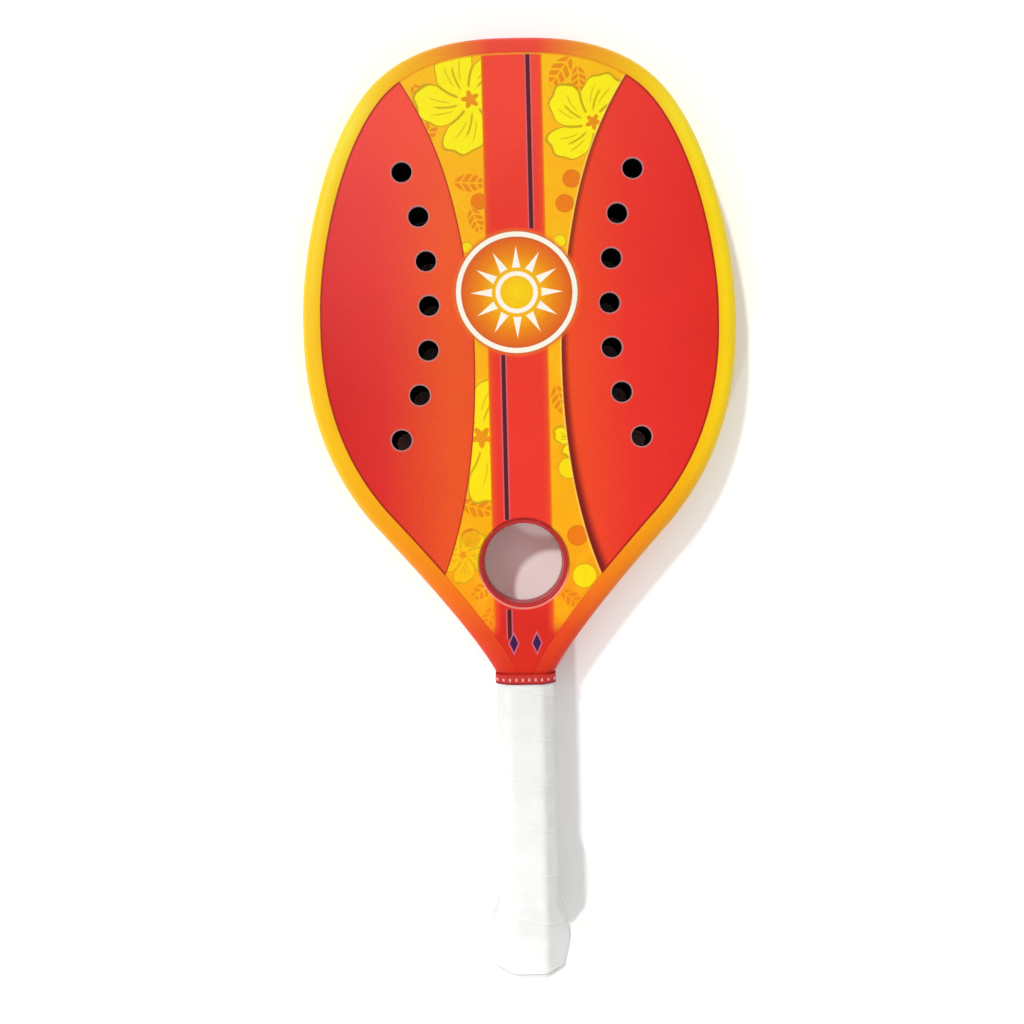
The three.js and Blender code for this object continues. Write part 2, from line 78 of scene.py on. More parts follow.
BORE_ROUNDING = 0.35
SKIN = 0.8
PLATE_FOOT_Y = 157.0
HOLE_RADIUS = 5.4
HOLE_ROW = (48.1, 355.372)  # middle hole of the right row
HOLE_PITCH = 23.8
HOLE_BOW = 15.8
HOLE_BOW_SHARES = np.array([0.85, 0.31, 0.08, 0, 0.05, 0.36, 1])
THROAT_Y = 217.318
THROAT_BORE = 21.5
THROAT_WALL = 1.9
THROAT_LIP = 1.3
THROAT_CORNER = 0.25
HOLE_SIDES, RING_SIDES, THROAT_SIDES = 40, 128, 96
HEAD_STEPS, HIP_STEPS, NECK_STEPS = 48, 36, 18  # along each curve of the outline
ROUND_STEPS, EDGE_STEPS, CAP_STEPS = 8, 3, 6  # along a quarter turn
EDGE_STRIP = (0.7, 1.4)  # insets of two flat rows of points that carry the lines beside the edges
CORE_TOP = HALF_HEAD - SKIN - BOND_GAP
CORE_PROFILE = [(0.0, -CORE_TOP), (0.0, CORE_TOP)]

# Grip
GRIP = (16.0, 14.5)  # half width and half thickness over the wraps
GRIP_FACETS = (8.8, 7.3)  # half widths of the front and side facets
NECK_GRIP = (15.7, 11.75)  # half sizes where the wrap ends on the neck
WRAP_ROUNDING = 2.2
FACET_STEPS, CORNER_STEPS, TAPE_CORNER_STEPS = 5, 6, 5  # round an octagon
TAPE_ROWS, FLARE_ROWS, TAPER_ROWS, SLEEVE_ROWS, SEAT_ROWS, BAND_ROWS = 460, 40, 12, 30, 24, 12
TOP_TAPER = 14.0
FLARE = (6.2, 4.6)
FLARE_PEAK = 18.0
FLARE_TOP = 37.0
FLARE_END_SHARE = 0.4
STRAIGHT_FOOT_Y = 40.0
WRAP_FOOT_Y = 2.7
OVERGRIP_THICKNESS = 0.6
TAPE_PITCH = 24.0
OVERLAP_RISE = 0.35
OVERLAP_WIDTH = 6.0
OVERLAP_CURVE = 1.3
TAPE_EDGE = 0.55
TAPE_DIP = (0.1, 3.0)  # depth and width of the dip before the next turn
WRINKLE_HEIGHT = 0.045
WRINKLES = [(9, 0.31, 0.0), (14, -0.23, 1.7), (5, 0.9, 0.6)]  # waves round, waves along y, shift
WRINKLE_PEAK = (5.0, 5.0)  # where they are strongest above a turn's edge, and how far they spread
WRINKLE_REST = 0.35
BASE_GRIP_INSET = 1.25
BASE_GRIP_THICKNESS = 1.8
CAP_INSET = 3.35
CAP_FLANGE = 2.4
CAP_HEIGHT = 30.92
CAP_FLOOR = 3.0
CAP_EDGE = 1.0
CAP_LIP = 0.2
CAP_FACE_INSET = 3.0  # of the ring that ends the flat face
PALLET_HALVES = (12.65, 11.15)
BAND = (153.2, 158.2)
BAND_THICKNESS = 0.5
BAND_CLEARANCE = 0.25
WRAP_CLEARANCE = 0.05
BAND_DROP = 1.2  # how far the band draws in from the wrap to the neck's faces
CORNER_CUT = (2 - math.sqrt(2)) * RIM[2]  # of a slanting facet that touches the tube's rounded corner
OCTAGON_CORNERS = [  # side, front or back, and whether the corner ends a front or back facet
    (1, -1, False), (1, 1, False), (1, 1, True), (-1, 1, True),
    (-1, 1, False), (-1, -1, False), (-1, -1, True), (1, -1, True),
]


def to_scene(points):
    """Racket millimetres to scene metres: turned by the tilt about x, shrunk and moved to the butt."""
    across, along, up = np.moveaxis(np.asarray(points, float), -1, 0)
    cos, sin = math.cos(TILT), math.sin(TILT)
    turned = np.stack([across, along * cos - up * sin, along * sin + up * cos], -1)
    return turned * MM + BUTT


def smooth(value, low, high):
    """0 below low, 1 above high, and the cubic 3t^2 - 2t^3 between them."""
    t = np.clip((np.asarray(value, float) - low) / (high - low), 0, 1)
    return t * t * (3 - 2 * t)


def quarter_turn(steps):
    """Angles from 0 to a right angle."""
    return np.linspace(0, math.pi / 2, steps + 1)


def quarter_round(radius, steps):
    """How far a rounded edge lies in from its two sides: the radius times 1 less the angle's cosine, and
    times 1 less its sine."""
    return [(radius * (1 - math.cos(a)), radius * (1 - math.sin(a))) for a in quarter_turn(steps)]


# Meshes


def grid_faces(rows, columns, joins_ends):
    """Quads of a grid whose columns close round, and whose rows do where joins_ends is true."""
    row, column = np.indices((rows if joins_ends else rows - 1, columns))
    above, beside = (row + 1) % rows, (column + 1) % columns
    corners = ((row, column), (above, column), (above, beside), (row, beside))
    return np.stack([r * columns + c for r, c in corners], -1).reshape(-1, 4)


def volume(points, faces):
    """Sum over the faces of the signed volume of the tetrahedra from the origin."""
    a, b, c = (points[faces[:, k]] for k in (0, 1, 2))
    total = np.einsum("ij,ij->i", a, np.cross(b, c)).sum()
    if faces.shape[1] == 4:
        total += np.einsum("ij,ij->i", a, np.cross(c, points[faces[:, 3]])).sum()
    return total / 6


def ring_surface(rings, joins_ends):
    """Points and faces of rings (row, point, xyz) carried along a path. Open ends close in a fan about
    their middle."""
    rows, columns = rings.shape[:2]
    points = rings.reshape(-1, 3)
    faces = grid_faces(rows, columns, joins_ends)
    if joins_ends:
        return points, [faces]
    here = np.arange(columns)
    there, hub = (here + 1) % columns, np.full(columns, rows * columns)
    last_row = (rows - 1) * columns
    fans = [(hub, here, there), (hub + 1, last_row + there, last_row + here)]
    hubs = [rings[0].mean(0), rings[-1].mean(0)]
    return np.vstack([points, hubs]), [faces, *(np.stack(fan, -1) for fan in fans)]


def placed(name, data):
    """An object with its data, in the scene."""
    made = bpy.data.objects.new(name, data)
    bpy.context.scene.collection.objects.link(made)
    return made


def finish_piece(name, mesh, sharp_angle, attributes):
    """The object of a mesh, smooth but for edges above an angle, with values at its points by name."""
    for label, values in attributes.items():
        layer = mesh.attributes.new(label, "FLOAT", "POINT")
        layer.data.foreach_set("value", np.asarray(values, np.float32).ravel())
    mesh.shade_smooth()
    mesh.set_sharp_from_angle(angle=math.radians(sharp_angle))
    mesh.update()
    return placed(name, mesh)


def make_piece(name, points, face_sets, sharp_angle=50, **attributes):
    """A piece from points in racket millimetres, with its faces turned out."""
    if sum(volume(points, faces) for faces in face_sets) < 0:
        face_sets = [faces[:, ::-1] for faces in face_sets]
    mesh = bpy.data.meshes.new(name)
    every_face = [face for faces in face_sets for face in faces.tolist()]
    mesh.from_pydata(to_scene(points).tolist(), [], every_face)
    return finish_piece(name, mesh, sharp_angle, attributes)


def there_and_back(outside, inside):
    """Rows up the outside and back down the inside."""
    return np.vstack([outside, inside[::-1]])


def make_sleeve(name, outside, inside, sharp_angle=50, **attributes):
    """A closed skin from its outer and inner rings. Attributes are such pairs as well."""
    rows = {label: there_and_back(*pair) for label, pair in attributes.items()}
    return make_piece(name, *ring_surface(there_and_back(outside, inside), True), sharp_angle, **rows)


def dress(piece, material, slot, *nodes):
    """The piece takes a material, rides on the racket and stands for CAD nodes. slot is not used."""
    piece.data.materials.append(material)
    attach(piece, BODY)
    if nodes:
        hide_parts(*nodes)


# Head outline


def bezier(handles, shares):
    """Places and tangents of the cubic curve with four handles, at shares of its length from 0 to 1."""
    a, b, c, d = np.array(handles, float)
    t = shares[:, None]
    s = 1 - t
    places = s**3 * a + 3 * s * s * t * b + 3 * s * t * t * c + t**3 * d
    tangents = s * s * (b - a) + 2 * s * t * (c - b) + t * t * (d - c)
    return places, tangents


def from_tip(handle):
    """Shares of the head's half width and length, from the tip, to millimetres."""
    return (handle[0] * HALF_WIDTH, LENGTH - handle[1] * HEAD_LENGTH)


def half_outline():
    """Places on the right side from the tip down to the leg's end, and normals that point inwards."""
    head = [[from_tip(handle) for handle in handles] for handles in (CROWN, SHOULDER, FLANK)]
    neck, leg = (NECK_HALF, NECK_Y), (LEG_HALF, LEGS_Y)
    ease = (NECK_Y - LEGS_Y) / 4
    above_neck = (NECK_HALF + NECK_EASE * NECK_SLOPE, NECK_Y + NECK_EASE)
    below_neck = (NECK_HALF - ease * NECK_SLOPE, NECK_Y - ease)
    curves = [(handles, HEAD_STEPS) for handles in head]
    curves.append(([head[2][3], from_tip(HIP), above_neck, neck], HIP_STEPS))
    curves.append(([neck, below_neck, (LEG_HALF, LEGS_Y + 2 * ease), leg], NECK_STEPS))
    places, tangents = [], []
    for i, (handles, steps) in enumerate(curves):
        place, tangent = bezier(handles, np.linspace(0, 1, steps + 1)[1 if i else 0:])
        places.append(place)
        tangents.append(tangent)
    places, tangents = np.vstack([*places, (LEG_HALF, LEG_END_Y)]), np.vstack([*tangents, (0, -1)])
    tangents /= np.linalg.norm(tangents, axis=1, keepdims=True)
    return places, np.stack([tangents[:, 1], -tangents[:, 0]], -1)


OUTLINE, INWARD = half_outline()


def tube_size(y):
    """Width, half thickness and rounding of the tube, from the legs' to the rim's by a smooth step."""
    share = smooth(y, LEGS_Y, NECK_Y)[:, None]
    return (np.array(LEG) * (1 - share) + np.array(RIM) * share).T


def tube_section(y, wall, corner):
    """Inward and upward offsets of a closed section at each height: a box whose outer corners have
    the tube's rounding and whose inner corners have a small one, moved in by the wall."""
    width, half, rounding = tube_size(y)
    outer = np.maximum(rounding - wall, wall)[:, None]
    inner = np.full_like(outer, corner)
    low, high, top = wall, (width - wall)[:, None], (half - wall)[:, None]
    turn = quarter_turn(ROUND_STEPS)[None]
    arcs = [
        (high - inner, top - inner, inner, turn),
        (low + outer, top - outer, outer, turn + math.pi / 2),
        (low + outer, outer - top, outer, turn + math.pi),
        (high - inner, inner - top, inner, turn + 1.5 * math.pi),
    ]
    inward = np.hstack([x + radius * np.cos(angle) for x, _, radius, angle in arcs])
    upward = np.hstack([z + radius * np.sin(angle) for _, z, radius, angle in arcs])
    return inward, upward


def tube_rings(wall, corner):
    """The tube's section carried up the right side of the outline and down the left."""
    inward, upward = tube_section(OUTLINE[:, 1], wall, corner)
    flat = OUTLINE[:, None] + INWARD[:, None] * inward[..., None]
    right = np.dstack([flat, upward])[::-1]
    left = right[::-1][1:] * (-1, 1, 1)
    return np.vstack([right, left]), np.vstack([inward[::-1], inward[1:]])


def make_rim():
    """Outer skin and bore of the bent tube as one closed loop of rings."""
    outside, inward = tube_rings(0, EDGE_ROUNDING)
    bore, bore_inward = tube_rings(TUBE_WALL, BORE_ROUNDING)
    return make_sleeve("rim", outside, bore, across=(inward, bore_inward))


# Head plates


def inside_loop(low_y, gap):
    """The line just inside the tube, anticlockwise, cut off at a height."""
    line = OUTLINE + INWARD * (tube_size(OUTLINE[:, 1])[0][:, None] + gap)
    below = np.argmax(line[:, 1] <= low_y)
    above = below - 1
    share = (line[above, 1] - low_y) / (line[above, 1] - line[below, 1])
    foot = line[above] * (1 - share) + line[below] * share
    side = np.vstack([line[:below], foot])
    return np.vstack([side[::-1], side[1:] * (-1, 1)])


def circle_loop(x, y, radius, sides):
    """A circle, clockwise, as a hole's edge goes."""
    turn = -2 * math.pi * np.arange(sides) / sides
    return np.stack([x + radius * np.cos(turn), y + radius * np.sin(turn)], -1)


def move_into(loop, distance):
    """Each corner of a closed loop, moved to the left of its way round: along the sum of its two edges'
    normals, over 1 plus their dot product, times the distance."""
    edge = np.roll(loop, -1, 0) - loop
    edge /= np.linalg.norm(edge, axis=1, keepdims=True)
    after = np.stack([-edge[:, 1], edge[:, 0]], -1)
    before = np.roll(after, 1, 0)
    return loop + distance * (before + after) / (1 + (before * after).sum(1, keepdims=True))


def hole_places():
    """Centres of both rows of holes, from the top down."""
    x = HOLE_ROW[0] + HOLE_BOW_SHARES * HOLE_BOW
    y = HOLE_ROW[1] + (3 - np.arange(7)) * HOLE_PITCH
    return np.vstack([np.stack([x, y], -1), np.stack([-x, y], -1)])


def plate_loops(gap):
    """Edges of a head plate: outside, throat and air holes."""
    throat = circle_loop(0, THROAT_Y, THROAT_BORE + THROAT_WALL + gap, THROAT_SIDES)
    holes = [circle_loop(x, y, HOLE_RADIUS, HOLE_SIDES) for x, y in hole_places()]
    return [inside_loop(PLATE_FOOT_Y, gap), throat, *holes]


def wall_rings(loop, profile):
    """A loop's copies at (distance into the plate, height) of a profile, as (row, point, xyz)."""
    return np.stack([np.insert(move_into(loop, inset), 2, height, axis=1) for inset, height in profile])


def make_plate(name, profile, gap):
    """A flat plate: every edge loop is carried up a profile, and its first and last rows are filled.
    from_rim and from_hole say how far a point lies from the outside or an air hole, up to the profile's
    last step."""
    made = bmesh.new()
    places, feet, tops, from_rim, from_hole = [], [], [], [], []
    for kind, loop in enumerate(plate_loops(gap)):
        rings = wall_rings(loop, profile)
        rows, columns = rings.shape[:2]
        places.append(rings.reshape(-1, 3))
        vertices = [made.verts.new(place) for place in places[-1]]
        for face in grid_faces(rows, columns, False).tolist():
            made.faces.new([vertices[i] for i in face])
        feet.append(vertices[:columns])
        tops.append(vertices[-columns:])
        inset = np.repeat([step[0] for step in profile], columns)
        from_rim.append(inset if kind == 0 else np.full_like(inset, inset[-1]))
        from_hole.append(inset if kind > 1 else np.full_like(inset, inset[-1]))
    for loops, up in ((feet, -1), (tops, 1)):
        edges = [made.edges.get(pair) for loop in loops for pair in zip(loop, loop[1:] + loop[:1])]
        normal = (0, 0, up)
        bmesh.ops.triangle_fill(made, use_beauty=True, use_dissolve=False, edges=edges, normal=normal)
    bmesh.ops.recalc_face_normals(made, faces=made.faces)
    mesh = bpy.data.meshes.new(name)
    made.to_mesh(mesh)
    made.free()
    mesh.vertices.foreach_set("co", to_scene(np.vstack(places)).ravel())
    values = {"from_rim": np.concatenate(from_rim), "from_hole": np.concatenate(from_hole)}
    return finish_piece(name, mesh, sharp_angle=30, attributes=values)


def face_profile(side):
    """From the skin's inner side out to its surface, with a round edge and a flat strip beside it."""
    low, high = (HALF_HEAD - SKIN) * side, HALF_HEAD * side
    arc = [(inset, high - side * down) for inset, down in quarter_round(EDGE_ROUNDING, EDGE_STEPS)]
    return [(0.0, low), *arc, *((inset, high) for inset in EDGE_STRIP)]


def make_throat_ring():
    """A closed section turned about the throat's axis: rounded lips inside, small corners outside."""
    outer, corner = THROAT_BORE + THROAT_WALL, THROAT_CORNER
    turn = quarter_turn(ROUND_STEPS)
    sin, cos = np.sin(turn), np.cos(turn)
    edge = np.stack([outer - corner * (1 - cos), HALF_HEAD - corner * (1 - sin)], -1)
    lip = np.stack([THROAT_BORE + THROAT_LIP - THROAT_LIP * sin, HALF_HEAD - THROAT_LIP * (1 - cos)], -1)
    top = np.vstack([edge, lip])
    section = np.vstack([top, (top * (1, -1))[::-1]])
    angle = 2 * math.pi * np.arange(RING_SIDES)[:, None] / RING_SIDES
    radius, height = section.T[:, None]
    x = radius * np.cos(angle)
    y = THROAT_Y + radius * np.sin(angle)
    rings = np.dstack([x, y, np.broadcast_to(height, x.shape)])
    return make_piece("throat_lip", *ring_surface(rings, True))


# Grip


def flare_share(y):
    """A quarter sine up to the peak, then half a cosine wave down to nothing."""
    rise = FLARE_END_SHARE + (1 - FLARE_END_SHARE) * np.sin(math.pi / 2 * np.maximum(y, 0) / FLARE_PEAK)
    fall = (1 + np.cos(math.pi * (y - FLARE_PEAK) / (FLARE_TOP - FLARE_PEAK))) / 2
    return np.where(y >= FLARE_TOP, 0, np.where(y >= FLARE_PEAK, fall, rise))


def grip_halves(y):
    """Half width and half thickness over the wraps, which draw in to the neck near the top."""
    flare = flare_share(y)
    drawn = smooth(y, NECK_Y - TOP_TAPER, NECK_Y)
    sizes = zip(GRIP, FLARE, NECK_GRIP)
    return [(grip + flare * wider) * (1 - drawn) + neck * drawn for grip, wider, neck in sizes]


def towards(corner, other):
    """Where the rounding of a corner ends on its edge to another corner, at most half way."""
    edge = other - corner
    length = np.linalg.norm(edge, axis=1, keepdims=True)
    return corner + edge * np.minimum(WRAP_ROUNDING / length, 0.5)


def octagon(half_width, half_depth, facets=GRIP_FACETS, corner_steps=CORNER_STEPS):
    """Rings (height, point, 2) of an octagon whose corners are softened by a parabola. facets are half
    the widths of the front and side facets."""
    wide, deep = np.atleast_1d(half_width), np.atleast_1d(half_depth)
    front, side = (facet * np.ones_like(wide) for facet in facets)
    corners = [
        np.stack([sx * (front if flat else wide), sz * (deep if flat else side)], -1)
        for sx, sz, flat in OCTAGON_CORNERS
    ]
    t = np.linspace(0, 1, corner_steps + 1)[None, :, None]
    s = np.linspace(0, 1, FACET_STEPS + 1)[1:-1][None, :, None]
    parts = []
    for i, corner in enumerate(corners):
        following = corners[(i + 1) % 8]
        start, end = towards(corner, corners[i - 1])[:, None], towards(corner, following)[:, None]
        curve = (1 - t) ** 2 * start + 2 * t * (1 - t) * corner[:, None] + t**2 * end
        facet = end * (1 - s) + towards(following, corner)[:, None] * s
        parts += [curve, facet]
    return np.hstack(parts)


def at_heights(flat, y):
    """Flat rings of x and z at heights y, as (row, point, xyz)."""
    return np.dstack([flat[..., 0], np.broadcast_to(y[:, None], flat.shape[:2]), flat[..., 1]])


def grip_rings(y, inset, corner_steps=CORNER_STEPS):
    """Rings round the handle at each height, inset from the wraps' outer surface."""
    y = np.atleast_1d(np.asarray(y, float))
    wide, deep = grip_halves(y)
    return at_heights(octagon(wide - inset, deep - inset, corner_steps=corner_steps), y)


def angle_round(rings):
    """The angle of each point about the handle's axis."""
    return np.arctan2(rings[..., 2], rings[..., 0])


def tape_past(rings):
    """How far each point lies above the lower edge of its turn of tape, which climbs round the handle."""
    turn = rings[..., 1] / TAPE_PITCH - angle_round(rings) / (2 * math.pi)
    return (turn - np.floor(turn)) * TAPE_PITCH


def tape_rise(past):
    """A rounded step at the turn's lower edge, a curved slope down behind it and a dip at its end."""
    step = smooth(past, 0, TAPE_EDGE)
    slope = np.clip(1 - past / OVERLAP_WIDTH, 0, 1) ** OVERLAP_CURVE
    depth, width = TAPE_DIP
    return OVERLAP_RISE * step * slope - depth * smooth(past, TAPE_PITCH - width, TAPE_PITCH)


def wrinkles(rings, past):
    """Small waves across the tape: sums of sines of the angle and the height, times a bell curve of the
    distance from the turn's edge plus a constant."""
    angle, y = angle_round(rings), rings[..., 1]
    waves = sum(np.sin(angle * turns + y * along + shift) for turns, along, shift in WRINKLES)
    peak, spread = WRINKLE_PEAK
    near_edge = np.exp(-(((past - peak) / spread) ** 2))
    return WRINKLE_HEIGHT * waves * (WRINKLE_REST + near_edge)


def make_overgrip():
    """The wound tape: an outer skin with its overlaps and wrinkles, and a plain inner skin."""
    top = NECK_Y - BOND_GAP
    outside = grip_rings(np.linspace(WRAP_FOOT_Y, top, TAPE_ROWS), OVERLAP_RISE, TAPE_CORNER_STEPS)
    past = tape_past(outside)
    outward = outside * (1, 0, 1)
    outward /= np.linalg.norm(outward, axis=-1, keepdims=True)
    rise = tape_rise(past) + wrinkles(outside, past)
    outside = outside + outward * rise[..., None]
    flare = np.linspace(WRAP_FOOT_Y, FLARE_TOP, FLARE_ROWS)
    levels = np.concatenate([flare, np.linspace(NECK_Y - TOP_TAPER, top, TAPER_ROWS)])
    inside = grip_rings(levels, OVERLAP_RISE + OVERGRIP_THICKNESS, TAPE_CORNER_STEPS)
    return make_sleeve("overgrip_tape", outside, inside, sharp_angle=60, past=(past, tape_past(inside)))


def make_base_grip():
    """The cushioned sleeve under the tape."""
    flare = np.linspace(WRAP_FOOT_Y, FLARE_TOP, FLARE_ROWS)
    above = np.linspace(STRAIGHT_FOOT_Y, NECK_Y - TOP_TAPER - BOND_GAP, SLEEVE_ROWS)
    levels = np.concatenate([flare, above])
    depths = (BASE_GRIP_INSET, BASE_GRIP_INSET + BASE_GRIP_THICKNESS)
    return make_sleeve("cushion_sleeve", *(grip_rings(levels, depth) for depth in depths))


def make_butt_cap():
    """End face, rounded flange edge, flange, seat under the wraps and the socket for the pallets."""
    arc = [grip_rings(height, inset) for height, inset in quarter_round(CAP_EDGE, CAP_STEPS)]
    flange = [grip_rings(CAP_FLANGE - CAP_LIP, 0), grip_rings(CAP_FLANGE, CAP_LIP)]
    seat = grip_rings(np.linspace(CAP_FLANGE, CAP_HEIGHT, SEAT_ROWS), CAP_INSET)
    socket = octagon(PALLET_HALVES[0] + BOND_GAP, PALLET_HALVES[1] + BOND_GAP)
    walls = at_heights(np.repeat(socket, 2, axis=0), np.array([CAP_HEIGHT, CAP_FLOOR]))
    rings = np.vstack([grip_rings(0.0, CAP_FACE_INSET), *arc, *flange, seat, walls])
    return make_piece("butt_end_cap", *ring_surface(rings, False), sharp_angle=40)


def make_band():
    """The finishing tape: octagons that follow the wrap's end below and the tube's corners above."""
    levels = np.linspace(*BAND, BAND_ROWS)
    on_neck = smooth(levels, NECK_Y, BAND[1])
    neck = np.interp(levels, OUTLINE[::-1, 1], OUTLINE[::-1, 0])
    wide = np.maximum(NECK_GRIP[0] + WRAP_CLEARANCE, neck + BAND_CLEARANCE)
    deep = NECK_GRIP[1] + WRAP_CLEARANCE - on_neck * BAND_DROP
    facets = [
        facet * (1 - on_neck) + (half - CORNER_CUT) * on_neck
        for facet, half in zip(GRIP_FACETS, (wide, deep))
    ]
    skins = []
    for stand_off in (BAND_THICKNESS, 0.0):
        widened = [facet + stand_off * math.tan(math.pi / 8) for facet in facets]
        skins.append(at_heights(octagon(wide + stand_off, deep + stand_off, widened), levels))
    return make_sleeve("finishing_tape", *skins)


# Material tools

LACQUER_GLEAM = 0.018  # what the lacquer reflects from straight above
FACE_LIGHT = 0.97  # the light on the face, where a white would be 1
DARKEST = 0.002
GAMMA_FOOT = 0.04045  # below it the display's colour is linear
WHITE = (1.0, 1.0, 1.0, 1.0)


class Field:
    """A value that changes over the surface: a node's output, on which plain operators work."""

    def __init__(self, socket):
        self.socket = socket

    def __add__(self, other):
        return maths("ADD", self, other)

    def __sub__(self, other):
        return maths("SUBTRACT", self, other)

    def __rsub__(self, other):
        return maths("SUBTRACT", other, self)

    def __mul__(self, other):
        return maths("MULTIPLY", self, other)

    def __truediv__(self, other):
        return maths("DIVIDE", self, other)

    def __rtruediv__(self, other):
        return maths("DIVIDE", other, self)

    def __pow__(self, other):
        return maths("POWER", self, other)

    def __abs__(self):
        return maths("ABSOLUTE", self)


def put(socket, value):
    """Links a field to a node's input, or sets the input's plain value."""
    if isinstance(value, Field):
        socket.id_data.links.new(value.socket, socket)
    else:
        socket.default_value = value


def node(tree, kind, inputs, **settings):
    """Adds a node with its settings and its inputs, by name or number: fields or plain values."""
    made = tree.nodes.new(kind)
    for key, value in settings.items():
        setattr(made, key, value)
    for key, value in inputs.items():
        put(made.inputs[key], value)
    return made


def field(tree, kind, inputs, output=0, **settings):
    """Adds a node and gives one of its outputs."""
    return Field(node(tree, kind, inputs, **settings).outputs[output])


def tree_of(values):
    """The node tree that the first field among the values belongs to."""
    return next(value.socket.id_data for value in values if isinstance(value, Field))


def formula(kind, inputs, output=0, **settings):
    """Adds a node to the tree of its own inputs and gives one of its outputs."""
    return field(tree_of(inputs.values()), kind, inputs, output, **settings)


def maths(operation, *values):
    """One step of arithmetic on fields and numbers."""
    return formula("ShaderNodeMath", dict(enumerate(values)), operation=operation)


def offset_from(place, centre):
    """The vector to a place from a centre."""
    return formula("ShaderNodeVectorMath", {0: place, 1: centre}, operation="SUBTRACT")


def length_of(vector):
    """The length of a vector."""
    return formula("ShaderNodeVectorMath", {0: vector}, "Value", operation="LENGTH")


def separate(vector):
    """The x, y and z of a vector."""
    made = node(tree_of([vector]), "ShaderNodeSeparateXYZ", {0: vector})
    return [Field(output) for output in made.outputs]


def mixed(share, low, high, way="MIX"):
    """The colour low where the share is 0, high where it is 1."""
    inputs = {0: share, 6: low, 7: high}
    return formula("ShaderNodeMix", inputs, 2, data_type="RGBA", blend_type=way)


def layered(colour, *layers):
    """Tones laid over a colour one after the other, each where its share is 1."""
    for share, tone in layers:
        colour = mixed(share, colour, tone)
    return colour


def stepped(value, low, high, start=0.0, end=1.0):
    """start below low and end above high, with the cubic 3t^2 - 2t^3 between them."""
    inputs = dict(enumerate((value, low, high, start, end)))
    return formula("ShaderNodeMapRange", inputs, interpolation_type="SMOOTHSTEP")


def fading(value, low, high, start=1.0):
    """start below low and nothing above high, with the same cubic between them."""
    return stepped(value, low, high, start, 0.0)


def within(value, low, high, soft):
    """1 where the value lies between low and high, with soft edges."""
    return stepped(value, low - soft, low + soft) * fading(value, high - soft, high + soft)


def ramp(value, low, high, stops):
    """A lacquered colour along a value between low and high: stops are (value, red, green, blue)."""
    share = formula("ShaderNodeMapRange", {0: value, 1: low, 2: high})
    made = node(tree_of([share]), "ShaderNodeValToRGB", {0: share})
    elements = made.color_ramp.elements
    places = [(stop[0] - low) / (high - low) for stop in stops]
    colours = [lacquered(*stop[1:]) for stop in stops]
    for place, colour in zip(places[1:-1], colours[1:-1]):
        elements.new(place).color = colour
    for end in (0, -1):
        elements[end].position, elements[end].color = places[end], colours[end]
    return Field(made.outputs[0])


def noise(place, scale, detail=2.0, roughness=0.5):
    """Cloudy values about a half, with scale clouds to the millimetre."""
    inputs = {"Vector": place, "Scale": scale, "Detail": detail, "Roughness": roughness}
    return formula("ShaderNodeTexNoise", inputs)


def stored(tree, label):
    """A value that the mesh stores at its points."""
    return field(tree, "ShaderNodeAttribute", {}, "Fac", attribute_name=label)


def paint(red, green, blue):
    """An 8-bit display colour as the linear colour that renders as it: a share of 255, over 12.92 near
    black, or else (share + 0.055) / 1.055 to the power 2.4."""
    display = np.array([red, green, blue]) / 255
    linear = np.where(display <= GAMMA_FOOT, display / 12.92, ((display + 0.055) / 1.055) ** 2.4)
    return (*linear.tolist(), 1.0)


def lacquered(red, green, blue):
    """The colour under the lacquer that renders as an 8-bit colour: less what the lacquer reflects."""
    linear = np.array(paint(red, green, blue)[:3])
    return (*np.maximum((linear - LACQUER_GLEAM) / FACE_LIGHT, DARKEST).tolist(), 1.0)


def new_group(name, **inputs):
    """A node group and its inputs as fields. Each has a usual value: a number, a place or a colour."""
    group = bpy.data.node_groups.new(name, "ShaderNodeTree")
    for label, value in inputs.items():
        kind = "Float" if isinstance(value, float) else {3: "Vector", 4: "Color"}[len(value)]
        socket = group.interface.new_socket(label, in_out="INPUT", socket_type="NodeSocket" + kind)
        socket.default_value = value
    sockets = group.nodes.new("NodeGroupInput").outputs
    return group, {label: Field(sockets[label]) for label in inputs}


def finish_group(group, **outputs):
    """Gives the group its named outputs: a colour where the field is one, or else a number."""
    for label, value in outputs.items():
        kind = "Color" if value.socket.type == "RGBA" else "Float"
        group.interface.new_socket(label, in_out="OUTPUT", socket_type="NodeSocket" + kind)
    node(group, "NodeGroupOutput", outputs)
    return group


def use(group, **inputs):
    """Places a node group among its inputs and gives its outputs by name."""
    made = node(tree_of(inputs.values()), "ShaderNodeGroup", inputs, node_tree=group)
    return {output.name: Field(output) for output in made.outputs}


def emptied(owner):
    """The node tree of a material or world, with no node in it."""
    owner.use_nodes = True
    owner.node_tree.nodes.clear()
    return owner.node_tree


def new_material(name, roughness, **fixed):
    """A material, its tree and its Principled shader, whose constant inputs are given by name."""
    material = bpy.data.materials.new(name)
    tree = emptied(material)
    constants = {label.replace("_", " "): value for label, value in fixed.items()}
    shader = node(tree, "ShaderNodeBsdfPrincipled", {"Roughness": roughness, **constants})
    node(tree, "ShaderNodeOutputMaterial", {0: Field(shader.outputs[0])})
    return material, tree, shader


def finish_surface(shader, colour, height, strength, depth, **inputs):
    """Feeds the shader a colour, a bump of a height times a depth in millimetres, and other inputs."""
    bump = formula("ShaderNodeBump", {"Height": height, "Strength": strength, "Distance": depth * MM})
    for label, value in {"Base Color": colour, "Normal": bump, **inputs}.items():
        put(shader.inputs[label], value)


def racket_place(tree):
    """Object coordinates turned back into the racket's own millimetres."""
    where = field(tree, "ShaderNodeTexCoord", {}, "Object")
    inputs = {"Vector": where, "Location": BUTT, "Rotation": (TILT, 0, 0), "Scale": (MM, MM, MM)}
    return formula("ShaderNodeMapping", inputs, vector_type="TEXTURE")


